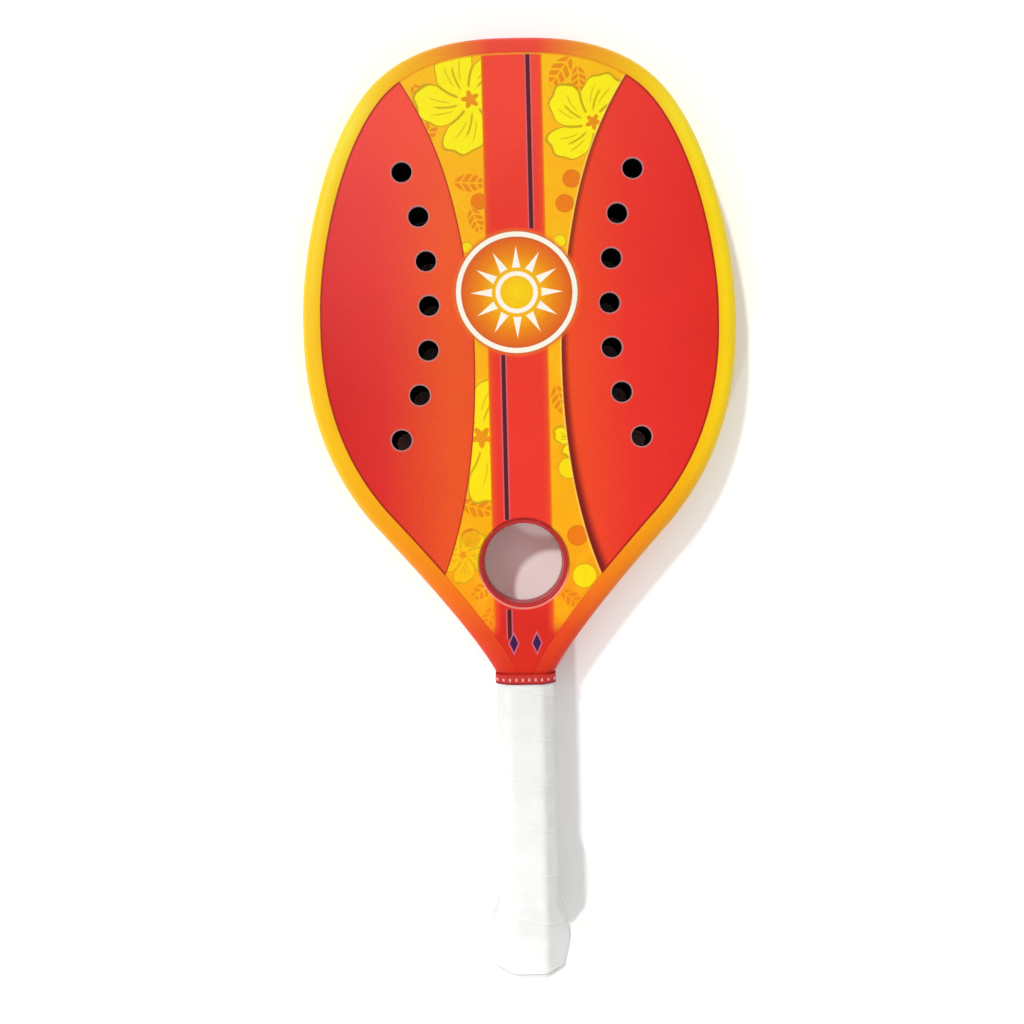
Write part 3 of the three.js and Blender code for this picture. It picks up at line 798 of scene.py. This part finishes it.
def print_place(place):
    """Flat millimetres on the print: x is turned round on the back, so that it reads the same, and then
    the print leans about a point on its axis and is shifted."""
    x, y, z = separate(place)
    flat = formula("ShaderNodeCombineXYZ", {0: x * maths("SIGN", z), 1: y})
    shift = (PRINT_SHIFT[0] - PRINT_PIVOT_Y * math.sin(PRINT_LEAN), PRINT_SHIFT[1], 0)
    inputs = {"Vector": flat, "Location": shift, "Rotation": (0, 0, -PRINT_LEAN)}
    return formula("ShaderNodeMapping", inputs, vector_type="POINT")


# Shared effects

ANGLE_SHARE = 1 / (2 * math.pi)
ORIGIN = (0.0, 0.0, 0.0)
MOTIF = {"Place": ORIGIN, "Centre": ORIGIN, "Radius": 10.0, "Turn": 0.0}  # a motif's inputs
PETALS = 5
PETAL_POWER = 2.6
PETAL_TWIST = 0.55  # radians from the heart to the petals' ends
SIDE_VEIN = 0.17  # its place between a petal's middle and the next one's
NOTCH = 0.42  # how deep the blossom is cut between petals, of its radius
RUFFLES = (17.0, 0.025)  # waves round the blossom, and their height
HEART_STAR = (0.13, 0.04)  # the heart's radius, and how far its points stand out
LEAF_RIBS = 15.0


def make_grain_group():
    """A colour times 1 plus a slow and a fine noise, and the height and shine of a fine orange peel."""
    usual = {"Place": ORIGIN, "Colour": WHITE, "Speckle": 0.1, "Drift": 0.06, "Coarseness": 0.7}
    group, given = new_group("lacquer_grain", **usual)
    place = given["Place"]
    fine, slow = noise(place, 1.0 / given["Coarseness"], 2.0, 0.6), noise(place, 0.035)
    gain = (fine - 0.5) * given["Speckle"] + (slow - 0.5) * given["Drift"] + 1.0
    grey = formula("ShaderNodeCombineXYZ", {0: gain, 1: gain, 2: gain})
    colour = mixed(1.0, given["Colour"], grey, "MULTIPLY")
    return finish_group(group, Colour=colour, Height=noise(place, 0.9, 1.0), Shine=slow * 0.16 + 0.36)


def make_motif_place_group():
    """Polar place about a motif's centre, turned and in units of its radius."""
    group, given = new_group("motif_place", **MOTIF)
    offset, radius = offset_from(given["Place"], given["Centre"]), given["Radius"]
    inputs = {"Vector": offset, "Angle": given["Turn"]}
    x, y, _ = separate(formula("ShaderNodeVectorRotate", inputs, rotation_type="Z_AXIS"))
    polar = {"Radial": length_of(offset) / radius, "Angle": maths("ARCTAN2", y, x)}
    return finish_group(group, **polar, X=x / radius, Y=y / radius)


def make_blossom_group():
    """Twisting ruffled petals. An edge lies at 1 less a power of the angle from the petal's middle, plus
    a sine; seams and veins are bands about the angles between the petals and in their middle."""
    group, given = new_group("blossom", **MOTIF)
    polar, radius = use(MOTIF_PLACE, **given), given["Radius"]
    radial, angle = polar["Radial"], polar["Angle"]
    twist = (radial * PETAL_TWIST + angle) * (PETALS * ANGLE_SHARE)
    off_middle = abs(maths("FRACT", twist) - 0.5)
    waves, height = RUFFLES
    edge = 1.0 - (off_middle * 2.0) ** PETAL_POWER * NOTCH + maths("SINE", angle * waves) * height
    beyond = (radial - edge) * radius
    fill = fading(beyond, -0.2, 0.2)
    arc = radial * radius * (2 * math.pi / PETALS)
    seam = fading((0.5 - off_middle) * arc, 0.2, 1.1) * stepped(radial, 0.2, 0.26)
    to_vein = off_middle * arc
    vein = fading(to_vein, 0.1, 1.0, 0.9) * within(radial, 0.26, 0.66, 0.06)
    side_vein = fading(abs(to_vein - arc * SIDE_VEIN), 0.0, 0.7, 0.7) * within(radial, 0.4, 0.74, 0.06)
    inner = maths("MAXIMUM", maths("MAXIMUM", vein, side_vein), seam)
    line = maths("MAXIMUM", within(beyond, -0.65, 0.65, 0.4), inner * fill)
    heart, points = HEART_STAR
    star = maths("COSINE", angle * PETALS) * points + heart
    return finish_group(group, Fill=fill, Line=line, Heart=fading((radial - star) * radius, -0.4, 0.4))


def make_leaf_group():
    """A leaf between two parabolas, less a midrib and the slanting ribs of a sine, as a mask."""
    group, given = new_group("leaf", **MOTIF)
    local, radius = use(MOTIF_PLACE, **given), given["Radius"]
    along, across = local["X"], abs(local["Y"])
    oval = stepped(((1.0 - abs(along) ** 2.0) * 0.5 - across) * radius, -0.15, 0.25)
    ribs = stepped(maths("SINE", (along - across * 0.7) * LEAF_RIBS), -0.75, -0.45)
    return finish_group(group, Mask=oval * (ribs * stepped(across * radius, 0.25, 0.6)))


GRAIN = make_grain_group()
MOTIF_PLACE = make_motif_place_group()
BLOSSOM = make_blossom_group()
LEAF = make_leaf_group()

# Print. Places are millimetres on the print: x from its own axis, y from the butt end.

PRINT_LEAN = math.radians(0.34)
PRINT_PIVOT_Y = 355.0
PRINT_SHIFT = (0.13, -0.55)  # from the racket's own places to those on the print
PANEL_WAIST = (24.26, 326.1)  # where the panels come nearest to the axis
PANEL_BOW = (10.77, 2.43)  # growth with the second and fourth power of the height from there, per 100 mm
PANEL_SLOPE = 0.29  # of the panels' edges, for each 100 mm of that height
PANEL_AXIS = -1.05
PANEL_CLOSER = 1.15  # how much nearer to their axis the panels lie below the emblem
PANEL_SHADOW = (6.4, 2.0)  # its width beside the right panel, at the two heights below
SHADOW_HEIGHTS = (190.0, 480.0)
STRIPE = (-17.3, 15.0)
PINSTRIPES = [(7.5, 395.0, 489.6), (-9.1, 240.0, 328.0), (-9.0, 176.5, 192.5)]  # x and both ends' y
PINSTRIPE_HALF = 1.1
HALO_HALF = 1.7
MARKS = [(-7.0, 174.3), (5.3, 174.3)]
MARK_HALVES = (2.3, 4.9)
EMBLEM = (-1.1, 361.2)
EMBLEM_RADIUS = 32.35
EMBLEM_INNER = EMBLEM_RADIUS - 2.7
EMBLEM_LINES = (EMBLEM_RADIUS + 0.1, EMBLEM_INNER - 0.1)
SUN_RING = (8.8, 11.2)
SUN_RAYS = 12
RAY_REACH = (13.2, 25.0)
RAY_TAPER = 0.378
THROAT_LINE = (THROAT_BORE + THROAT_WALL - 1, THROAT_BORE + THROAT_WALL + 1.1)

RED, ORANGE_RED, ORANGE = lacquered(236, 66, 54), lacquered(236, 84, 50), lacquered(240, 124, 40)
TIP_RED, NECK_RED, LOW_RED = lacquered(245, 78, 64), lacquered(212, 52, 46), lacquered(213, 54, 44)
PANEL_TIP = lacquered(252, 86, 72)
YELLOW, PALE_GOLD = lacquered(255, 240, 6), lacquered(252, 196, 30)
LEAF_ORANGE, HEART_ORANGE = lacquered(232, 128, 14), lacquered(236, 150, 16)
EDGE_GOLD, CREAM = lacquered(254, 222, 110), lacquered(255, 248, 232)
MAROON, LILAC, VIOLET = lacquered(94, 6, 38), lacquered(194, 118, 146), lacquered(66, 12, 74)
BROWN, OLIVE = lacquered(150, 48, 14), lacquered(198, 158, 8)
EMBLEM_GLOW, EMBLEM_LINE = lacquered(242, 116, 52), lacquered(176, 92, 50)
THROAT_TOP, THROAT_FOOT = lacquered(128, 22, 44), lacquered(242, 150, 140)
RIM_LINE_GOLD, RIM_LINE_RED = lacquered(242, 160, 18), lacquered(164, 46, 10)
HOLE_LINE = lacquered(172, 140, 142)

# Colours along a height or a distance: millimetres, red, green, blue
GROUND = [
    (180, 248, 142, 26), (212, 250, 160, 18), (235, 251, 174, 14),
    (300, 253, 178, 14), (440, 255, 184, 6), (490, 252, 194, 10),
]
RIGHT_PANEL = [(28, 240, 82, 50), (58, 235, 62, 54), (85, 230, 56, 52), (106, 226, 54, 46)]
PANELS_LOW = [(-106, 207, 46, 46), (-75, 219, 56, 53), (-38, 233, 90, 49), *RIGHT_PANEL]
PANELS_HIGH = [(-106, 226, 62, 62), (-75, 236, 71, 67), (-38, 241, 94, 55), *RIGHT_PANEL]
SHADE = [(220, 112, 28, 4), (330, 132, 44, 4), (400, 150, 58, 6), (470, 178, 66, 8)]
EMBLEM_GROUND = [(0, 250, 214, 6), (11, 248, 190, 10), (20, 238, 140, 32), (EMBLEM_INNER, 224, 98, 48)]
RIM_SIDES = [
    (158, 212, 56, 44), (180, 228, 80, 46), (205, 242, 124, 42),
    (235, 244, 158, 36), (275, 249, 192, 20), (340, 249, 198, 14),
    (420, 251, 216, 32), (460, 250, 230, 66), (500, 246, 200, 40),
]
RIM_CROWN = [
    (0, 238, 78, 64), (13, 238, 80, 62), (24, 236, 118, 56),
    (42, 240, 160, 44), (70, 249, 200, 36), (105, 252, 224, 50),
]
# The second of these is a painted highlight: a pale glow along the rim's outer edge.
RIM_RIGHT, PAINTED_RIM_GLOW, RIM_DEEP = lacquered(255, 226, 30), lacquered(250, 232, 90), lacquered(250, 178, 20)

BLOSSOMS = [  # x, y, radius, turn, brightness
    (-23.4, 464.4, 29.5, 0.7, 1.0), (41.8, 451.0, 26.5, 1.43, 1.0), (-21.5, 284.5, 35.0, 0.32, 0.75),
    (29.0, 284.0, 12.0, 0.9, 0.8), (-33.0, 222.0, 15.0, 0.5, 0.3),
]
LEAVES = [  # x, y, half length, turn
    (25.0, 478.5, 10.5, 2.2), (34.5, 474.0, 8.0, 1.5), (-25.0, 420.0, 9.5, 0.05),
    (-22.0, 400.0, 8.0, 1.2), (-46.0, 448.0, 8.5, -1.0), (-50.5, 468.0, 7.0, 0.9),
    (20.5, 303.5, 9.0, 1.3), (-25.0, 247.0, 10.0, 0.3), (-23.0, 203.0, 8.0, 2.5),
    (-20.0, 188.0, 7.0, 1.9), (24.5, 197.5, 8.0, 0.7),
]
ORANGE_SPOTS = [  # x, y, radius
    (29.5, 421.0, 4.6), (25.5, 408.0, 4.6), (28.2, 231.0, 5.2), (-28.5, 231.0, 4.8), (-20.0, 410.0, 4.2),
]
YELLOW_SPOTS = [(24.5, 267.0, 5.6), (31.5, 209.5, 6.4), (22.5, 388.0, 3.4), (-27.0, 385.5, 3.0)]
SPOTS = [  # places, fill, line
    (ORANGE_SPOTS, lacquered(238, 122, 22), lacquered(214, 120, 10)),
    (YELLOW_SPOTS, lacquered(250, 226, 6), lacquered(206, 164, 6)),
]


def panel_distance(x, y):
    """Millimetres into a panel from its bowed inner edge: the distance from the panels' axis, less a
    waist and two powers of the height, over the root of 1 plus the edge's slope squared."""
    rise = (y - PANEL_WAIST[1]) * 0.01
    square = rise * rise
    edge = (square * PANEL_BOW[1] + PANEL_BOW[0]) * square + PANEL_WAIST[0]
    across = abs(x - PANEL_AXIS) + stepped(y, 330, 400, PANEL_CLOSER, 0.0) - edge
    slope = rise * PANEL_SLOPE
    return across / maths("SQRT", slope * slope + 1.0)


def flowered_ground(place, y):
    """Gold ground with orange leaves and spots, and yellow blossoms and spots drawn with olive lines."""
    drift = stepped(noise(place, 0.06), 0.45, 0.7, 0.0, 0.5)
    colour = mixed(drift, ramp(y, 170, 490, GROUND), PALE_GOLD)
    for *centre, length, turn in LEAVES:
        leaf = use(LEAF, Place=place, Centre=(*centre, 0), Radius=length, Turn=turn)
        colour = mixed(leaf["Mask"] * 0.8, colour, LEAF_ORANGE)
    for spots, fill, line in SPOTS:
        for *centre, radius in spots:
            beyond = length_of(offset_from(place, (*centre, 0))) - radius
            edge = within(beyond, -0.35, 0.35, 0.3) * 0.7
            colour = layered(colour, (fading(beyond, -0.3, 0.3, 0.92), fill), (edge, line))
    for *centre, radius, turn, brightness in BLOSSOMS:
        blossom = use(BLOSSOM, Place=place, Centre=(*centre, 0), Radius=radius, Turn=turn)
        fill, line = blossom["Fill"] * brightness, blossom["Line"] * (0.4 + 0.5 * brightness)
        colour = layered(colour, (fill, YELLOW), (line, OLIVE), (blossom["Heart"], HEART_ORANGE))
    return colour


def panel_colour(x, y):
    """Red that turns orange towards the strips; the left panel darkens downwards and outwards."""
    colour = mixed(stepped(y, 290, 430), ramp(x, -110, 110, PANELS_LOW), ramp(x, -110, 110, PANELS_HIGH))
    tip = stepped(y, 400, 480, 0.0, 0.8) * stepped(x, -20, 40, 1.0, 0.2)
    return mixed(tip, colour, PANEL_TIP)


def stripe_colour(x, y):
    """Red down the middle with thin orange edges, lighter at the tip and deeper at the neck."""
    low, high = STRIPE
    middle = mixed(stepped(y, 390, 480), RED, TIP_RED)
    middle = mixed(fading(y, 180, 215), middle, NECK_RED)
    edge = maths("MINIMUM", x - low, high - x)
    return mixed(stepped(edge, 0.2, 1.4), ORANGE, mixed(stepped(edge, 0.6, 4.5), ORANGE_RED, middle))


def with_emblem(colour, place):
    """A plain white ring round a sun whose rays taper outwards, on yellow that turns orange outwards."""
    polar = use(MOTIF_PLACE, Place=place, Centre=(*EMBLEM, 0), Radius=1.0, Turn=0.0)
    radial = polar["Radial"]
    ground = ramp(radial, 0, EMBLEM_INNER, EMBLEM_GROUND)
    share = maths("FRACT", polar["Angle"] * (SUN_RAYS * ANGLE_SHARE) + 0.5)
    ray_edge = (RAY_REACH[1] - radial) * RAY_TAPER - abs(share - 0.5) * radial
    ray = stepped(ray_edge, -0.1, 0.5) * within(radial, *RAY_REACH, 0.25)
    lines = [within(radial, edge - 0.45, edge + 0.45, 0.35) * 0.7 for edge in EMBLEM_LINES]
    return layered(
        colour,
        (fading(radial, EMBLEM_RADIUS, EMBLEM_RADIUS + 3.0, 0.8), EMBLEM_GLOW),
        (fading(radial, EMBLEM_INNER - 0.2, EMBLEM_INNER + 0.2), ground),
        (maths("MAXIMUM", ray, within(radial, *SUN_RING, 0.25)), CREAM),
        *((line, EMBLEM_LINE) for line in lines),
        (within(radial, EMBLEM_INNER, EMBLEM_RADIUS, 0.3), CREAM),
    )


def with_pinstripes(colour, x, y):
    """Thin dark lines with lilac edges, along the stripe."""
    for centre, low, high in PINSTRIPES:
        reach = within(y, low, high, 0.4)
        halo = within(x, centre - HALO_HALF, centre + HALO_HALF, 0.4) * reach * 0.75
        core = within(x, centre - PINSTRIPE_HALF, centre + PINSTRIPE_HALF, 0.2) * reach
        colour = layered(colour, (halo, LILAC), (core, MAROON))
    return colour


def with_neck_marks(colour, x, y):
    """Two small upright diamonds on the neck. Shares of a half width and a half height add up to 1."""
    for mark_x, mark_y in MARKS:
        size = abs(x - mark_x) / MARK_HALVES[0] + abs(y - mark_y) / MARK_HALVES[1]
        halo, core = fading(size, 1.15, 1.45, 0.8), fading(size, 0.9, 1.08)
        colour = layered(colour, (halo, LILAC), (core, VIOLET))
    return colour


def with_edge_lines(colour, tree, racket, into_panel, y):
    """Thin lines round the throat, along the rim and round the air holes."""
    off_throat = length_of(offset_from(racket, (0, THROAT_Y, HALF_HEAD)))
    near_rim = fading(stored(tree, "from_rim"), 0.6, 1.4, 0.85) * stepped(y, 186, 205)
    return layered(
        colour,
        (within(off_throat, *THROAT_LINE, 0.3) * 0.75,
         mixed(stepped(y, THROAT_Y - 14, THROAT_Y), THROAT_FOOT, THROAT_TOP)),
        (near_rim, mixed(stepped(into_panel, -1, 1), RIM_LINE_GOLD, RIM_LINE_RED)),
        (fading(stored(tree, "from_hole"), 0.25, 0.95, 0.85), HOLE_LINE),
    )


def finish_paint(shader, racket, colour, speckle, drift, strength):
    """Grainy paint under satin lacquer with a slight orange peel."""
    grain = use(GRAIN, Place=racket, Colour=colour, Speckle=speckle, Drift=drift, Coarseness=0.8)
    finish_surface(shader, grain["Colour"], grain["Height"], strength, 0.2, Roughness=grain["Shine"])


def make_print_material():
    """The whole print of a face plate: strips, panels with their lines and shadow, stripe and marks."""
    material, tree, shader = new_material("face_print", 0.42, Specular_IOR_Level=0.22)
    racket = racket_place(tree)
    place = print_place(racket)
    x, y, _ = separate(place)
    into_panel = panel_distance(x, y)
    on_right = stepped(x, -1, 1)
    inputs = dict(enumerate((y, *SHADOW_HEIGHTS, *PANEL_SHADOW)))
    depth = into_panel / formula("ShaderNodeMapRange", inputs)
    shade = fading(depth, 0.2, 1.1, 0.95) * stepped(into_panel, 0.0, 0.3)
    colour = layered(
        flowered_ground(place, y),
        (within(into_panel, -0.9, 0.1, 0.25) * on_right * 0.6, EDGE_GOLD),
        (stepped(into_panel, -0.15, 0.15), panel_colour(x, y)),
        (within(into_panel, -0.1, 0.7, 0.3) * 0.75, BROWN),
        (shade * on_right, ramp(y, 190, 490, SHADE)),
        (within(x, *STRIPE, 0.2), stripe_colour(x, y)),
        (fading(y, 177, 186, 0.95), LOW_RED),
    )
    colour = with_pinstripes(with_emblem(colour, place), x, y)
    colour = with_edge_lines(with_neck_marks(colour, x, y), tree, racket, into_panel, y)
    finish_paint(shader, racket, colour, 0.3, 0.1, 0.05)
    return material


def make_rim_material():
    """Yellow sides that turn red at the tip and the neck, paler on the outside with a painted highlight,
    deeper on the inside.
    """
    material, tree, shader = new_material("rim_paint", 0.42, Specular_IOR_Level=0.22)
    racket = racket_place(tree)
    x, y, _ = separate(print_place(racket))
    across, off_axis = stored(tree, "across"), abs(x)
    on_side = stepped(y, 190, 300) * stepped(off_axis, 20, 60)
    colour = layered(
        ramp(y, 150, 500, RIM_SIDES),
        (stepped(y, 440, 480), ramp(off_axis, 0, 110, RIM_CROWN)),
        (stepped(x, 50, 100, 0.0, 0.55) * stepped(y, 240, 320), RIM_RIGHT),
        # painted highlight: a pale glow along the outer edge of the rim's sides
        (fading(across, 1.0, 4.0, 0.4) * on_side, PAINTED_RIM_GLOW),
        (stepped(across, 6.5, 10.3, 0.0, 0.45) * on_side, RIM_DEEP),
    )
    finish_paint(shader, racket, colour, 0.2, 0.08, 0.06)
    return material


# Other materials

TICK_PITCH = 3.4
TICK_Y = 155.6


def textured(name, colour, shade, roughness, scale, bump, cells=False, stretch=(1, 1, 1), **fixed):
    """A plain stuff: two tones mixed by its grain and a slow noise. bump is the strength of the grain's
    bump and its depth in millimetres."""
    material, tree, shader = new_material(name, roughness, **fixed)
    place = racket_place(tree)
    stretched = formula("ShaderNodeVectorMath", {0: place, 1: stretch}, operation="MULTIPLY")
    if cells:
        grain = formula("ShaderNodeTexVoronoi", {"Vector": stretched, "Scale": scale}, "Distance")
    else:
        grain = noise(stretched, scale, 3.0, 0.6)
    slow = noise(place, 0.05)
    tone = stepped(grain * 0.7 + slow * 0.3, 0.3, 0.7)
    wear = slow * 0.16 + (roughness - 0.08)
    finish_surface(shader, mixed(tone, shade, colour), grain, *bump, Roughness=wear)
    return material


def make_wrap_material():
    """White tape: fine tacky grain, a hint of painted grey shade in the crease under each overlap, and
    slow smudges.
    """
    material, tree, shader = new_material("white_wrap", 0.62, Sheen_Weight=0.08, Sheen_Roughness=0.5)
    place = racket_place(tree)
    fine, slow = noise(place, 2.2, 3.0, 0.65), noise(place, 0.09)
    # painted shade: grey just below the edge of the next turn, where it overlaps this one
    painted_crease_shade = stepped(stored(tree, "past"), TAPE_PITCH - 1.1, TAPE_PITCH - 0.1, 0.0, 0.35)
    colour = layered(
        mixed(stepped(slow, 0.35, 0.75), paint(238, 238, 236), paint(232, 231, 228)),
        (fading(fine, 0.3, 0.7, 0.12), paint(214, 213, 208)),
        (painted_crease_shade, paint(196, 194, 188)),
    )
    finish_surface(shader, colour, fine, 0.35, 0.08)
    return material


def make_band_material():
    """Red finishing tape with a dark lower edge and a row of small pale ticks."""
    material, tree, shader = new_material("band_tape", 0.45, Specular_IOR_Level=0.25)
    place = racket_place(tree)
    x, y, _ = separate(place)
    weave = noise(place, 1.6)
    off_tick = abs(maths("FRACT", x * (1 / TICK_PITCH)) - 0.5) * TICK_PITCH
    tick = fading(off_tick, 0.35, 0.6) * fading(abs(y - TICK_Y), 0.6, 0.9)
    colour = layered(
        mixed(stepped(weave, 0.35, 0.7), paint(192, 40, 36), paint(208, 48, 40)),
        (tick * 0.6, paint(246, 208, 204)),
        (fading(y, BAND[0] + 0.6, BAND[0] + 1.1, 0.8), paint(110, 18, 40)),
    )
    finish_surface(shader, colour, weave, 0.3, 0.05)
    return material


# Stage

CAMERA_AIM = (-5.85, 244.79)  # where the middle of the picture meets the mid plane
CAMERA_DISTANCE = 390.4
CAMERA_ROLL = math.radians(1.01)
CAMERA_LENS = 25.118
CAMERA_SENSOR = 36
SKY_SHARE = 0.72  # of a white surface's light, from the sky at its full strength
ZENITH = (0.88, 0.94)  # the sky darkens between these heights of a direction of length 1
ZENITH_SHARE = 0.03
SUN_SHARE = 0.29
SUN_FROM = (-0.7, 0.71)  # the side of the picture that the broad light comes from
SUN_HEIGHT = math.radians(46)
SUN_SIZE = math.radians(5)
LAMP_SHARE = 0.26  # at the middle of the handle
LAMP_AT = (-150.0, -216.0, 300.0)
LAMP_AIM = (0.0, 60.0, 20.0)
LAMP_SIZE = 0.03
FLOOR_HALF = 40.0
FLOOR_HEIGHT = -0.0002
FLOOR_WHITE = (0.8, 0.8, 0.8, 1.0)  # for the light that it throws back
FLOOR_SEEN = (1.2, 1.1904, 1.17, 1.0)  # to the eye


def turned_to_scene(direction):
    """A direction in the racket's frame as one in the scene."""
    return Vector(to_scene(direction) - to_scene(ORIGIN)).normalized()


def facing(direction):
    """The turn that points a lamp's z along a direction, so that it shines the other way."""
    return direction.to_track_quat("Z", "Y").to_matrix().to_4x4()


def make_camera():
    """Looks straight down on the face, rolled so that the tip leans to the left."""
    camera = placed("camera", bpy.data.cameras.new("camera"))
    camera.data.sensor_width = CAMERA_SENSOR
    camera.data.lens = CAMERA_LENS
    up = turned_to_scene((math.sin(CAMERA_ROLL), math.cos(CAMERA_ROLL), 0))
    back = turned_to_scene((0, 0, 1))
    turn = Matrix((up.cross(back), up, back)).transposed().to_4x4()
    camera.matrix_world = Matrix.Translation(to_scene((*CAMERA_AIM, CAMERA_DISTANCE))) @ turn
    bpy.context.scene.camera = camera


def make_lights():
    """A soft broad light from the upper left, and a small near lamp beyond the butt. Their energies give
    a level white surface a share of its light: the sun's is the share times pi over the sine of its
    height, the lamp's the share times pi squared times its squared distance over its slant."""
    sun = placed("broad_light", bpy.data.lights.new("broad_light", "SUN"))
    sun.data.energy = SUN_SHARE * math.pi / math.sin(SUN_HEIGHT)
    sun.data.angle = SUN_SIZE
    towards = Vector((*SUN_FROM, 0)).normalized() * math.cos(SUN_HEIGHT)
    towards.z = math.sin(SUN_HEIGHT)
    sun.matrix_world = facing(towards)
    lamp = placed("near_lamp", bpy.data.lights.new("near_lamp", "AREA"))
    place = Vector(to_scene(LAMP_AT))
    away = place - Vector(to_scene(LAMP_AIM))
    slant = away.z / away.length
    lamp.data.shape = "DISK"
    lamp.data.size = LAMP_SIZE
    lamp.data.energy = LAMP_SHARE * math.pi**2 * away.length_squared / slant
    lamp.matrix_world = Matrix.Translation(place) @ facing(away)
    lamp.visible_camera = False


def seen_by_eye(tree):
    """1 for camera, glossy and transmission rays."""
    path = node(tree, "ShaderNodeLightPath", {})
    camera, glossy, through = (
        Field(path.outputs["Is %s Ray" % kind]) for kind in ("Camera", "Glossy", "Transmission")
    )
    return maths("MAXIMUM", maths("MAXIMUM", camera, glossy), through)


def make_sky():
    """White to the eye; as a light it is even, and dark straight above, where the camera is."""
    world = bpy.data.worlds.new("sky")
    bpy.context.scene.world = world
    tree = emptied(world)
    up = separate(field(tree, "ShaderNodeTexCoord", {}, "Generated"))[2]
    inputs = dict(enumerate((up, *ZENITH, SKY_SHARE, ZENITH_SHARE)))
    zenith = formula("ShaderNodeMapRange", inputs, clamp=True)
    strength = formula("ShaderNodeMix", {0: seen_by_eye(tree), 2: zenith, 3: 1.0})
    light = field(tree, "ShaderNodeBackground", {0: WHITE, 1: strength})
    node(tree, "ShaderNodeOutputWorld", {0: light})


def make_floor():
    """A wide white floor just under the racket; the eye sees it lifted to white, with its shadow."""
    turns = ((-1, -1), (1, -1), (1, 1), (-1, 1))
    corners = [(x * FLOOR_HALF, y * FLOOR_HALF, FLOOR_HEIGHT) for x, y in turns]
    mesh = bpy.data.meshes.new("floor")
    mesh.from_pydata(corners, [], [(0, 1, 2, 3)])
    floor = placed("floor", mesh)
    material = bpy.data.materials.new("floor")
    tree = emptied(material)
    tones = (FLOOR_WHITE, FLOOR_SEEN)
    base, lifted = (field(tree, "ShaderNodeBsdfDiffuse", {0: tone}) for tone in tones)
    either = field(tree, "ShaderNodeMixShader", {0: seen_by_eye(tree), 1: base, 2: lifted})
    node(tree, "ShaderNodeOutputMaterial", {0: either})
    floor.data.materials.append(material)


make_camera()
make_lights()
make_sky()
make_floor()

# The racket's pieces, each with the CAD node that it replaces

PRINT = make_print_material()
FOAM = textured(
    "eva_core", paint(7, 6, 7), paint(3, 3, 3), 0.9, 1.1, (0.6, 0.3), True, Specular_IOR_Level=0.05
)
THROAT = textured(
    "throat_paint", paint(194, 39, 39), paint(174, 27, 34), 0.4, 0.8, (0.1, 0.05), Specular_IOR_Level=0.3
)
CUSHION = textured("cushion_grip", paint(52, 52, 55), paint(34, 34, 36), 0.7, 1.4, (0.5, 0.2), True)
CAP = textured("cap_plastic", paint(232, 232, 229), paint(222, 222, 218), 0.45, 1.6, (0.25, 0.05))
PALLET = textured("pallet_foam", paint(206, 186, 140), paint(190, 168, 120), 0.8, 0.9, (0.4, 0.2), True)
STEEL = textured(
    "staple_steel", paint(190, 192, 196), paint(150, 152, 158), 0.32, 1.5, (0.2, 0.03),
    stretch=(0.2, 3, 3), Metallic=1.0,
)

dress(make_rim(), make_rim_material(), "rim_paint", "frame_tube")
dress(make_plate("face_front_print", face_profile(1), PAINTED_GAP), PRINT, "face_print", "face_front")
dress(make_plate("face_back_print", face_profile(-1), PAINTED_GAP), PRINT, "face_print", "face_back")
dress(make_plate("drilled_core", CORE_PROFILE, BOND_GAP), FOAM, "eva_core", "head_core")
dress(make_throat_ring(), THROAT, "throat_paint", "throat_ring")
dress(make_overgrip(), make_wrap_material(), "white_wrap", "overgrip")
SLEEVE = make_base_grip()
dress(SLEEVE, CUSHION, "cushion_grip", "base_grip")
dress(make_butt_cap(), CAP, "cap_plastic", "butt_cap")
dress(make_band(), make_band_material(), "band_tape", "finishing_band")

# Pieces inside the racket keep their CAD solids
for material, *names in (
    (FOAM, "leg_spacer"),
    (PALLET, "pallet_front", "pallet_back"),
    (STEEL, "cap_staple_front", "cap_staple_back"),
):
    for name in names:
        frame["nodes"][name].data.materials.clear()
        frame["nodes"][name].data.materials.append(material)

bpy.context.scene.view_settings.view_transform = "Standard"
bpy.context.view_layer.update()
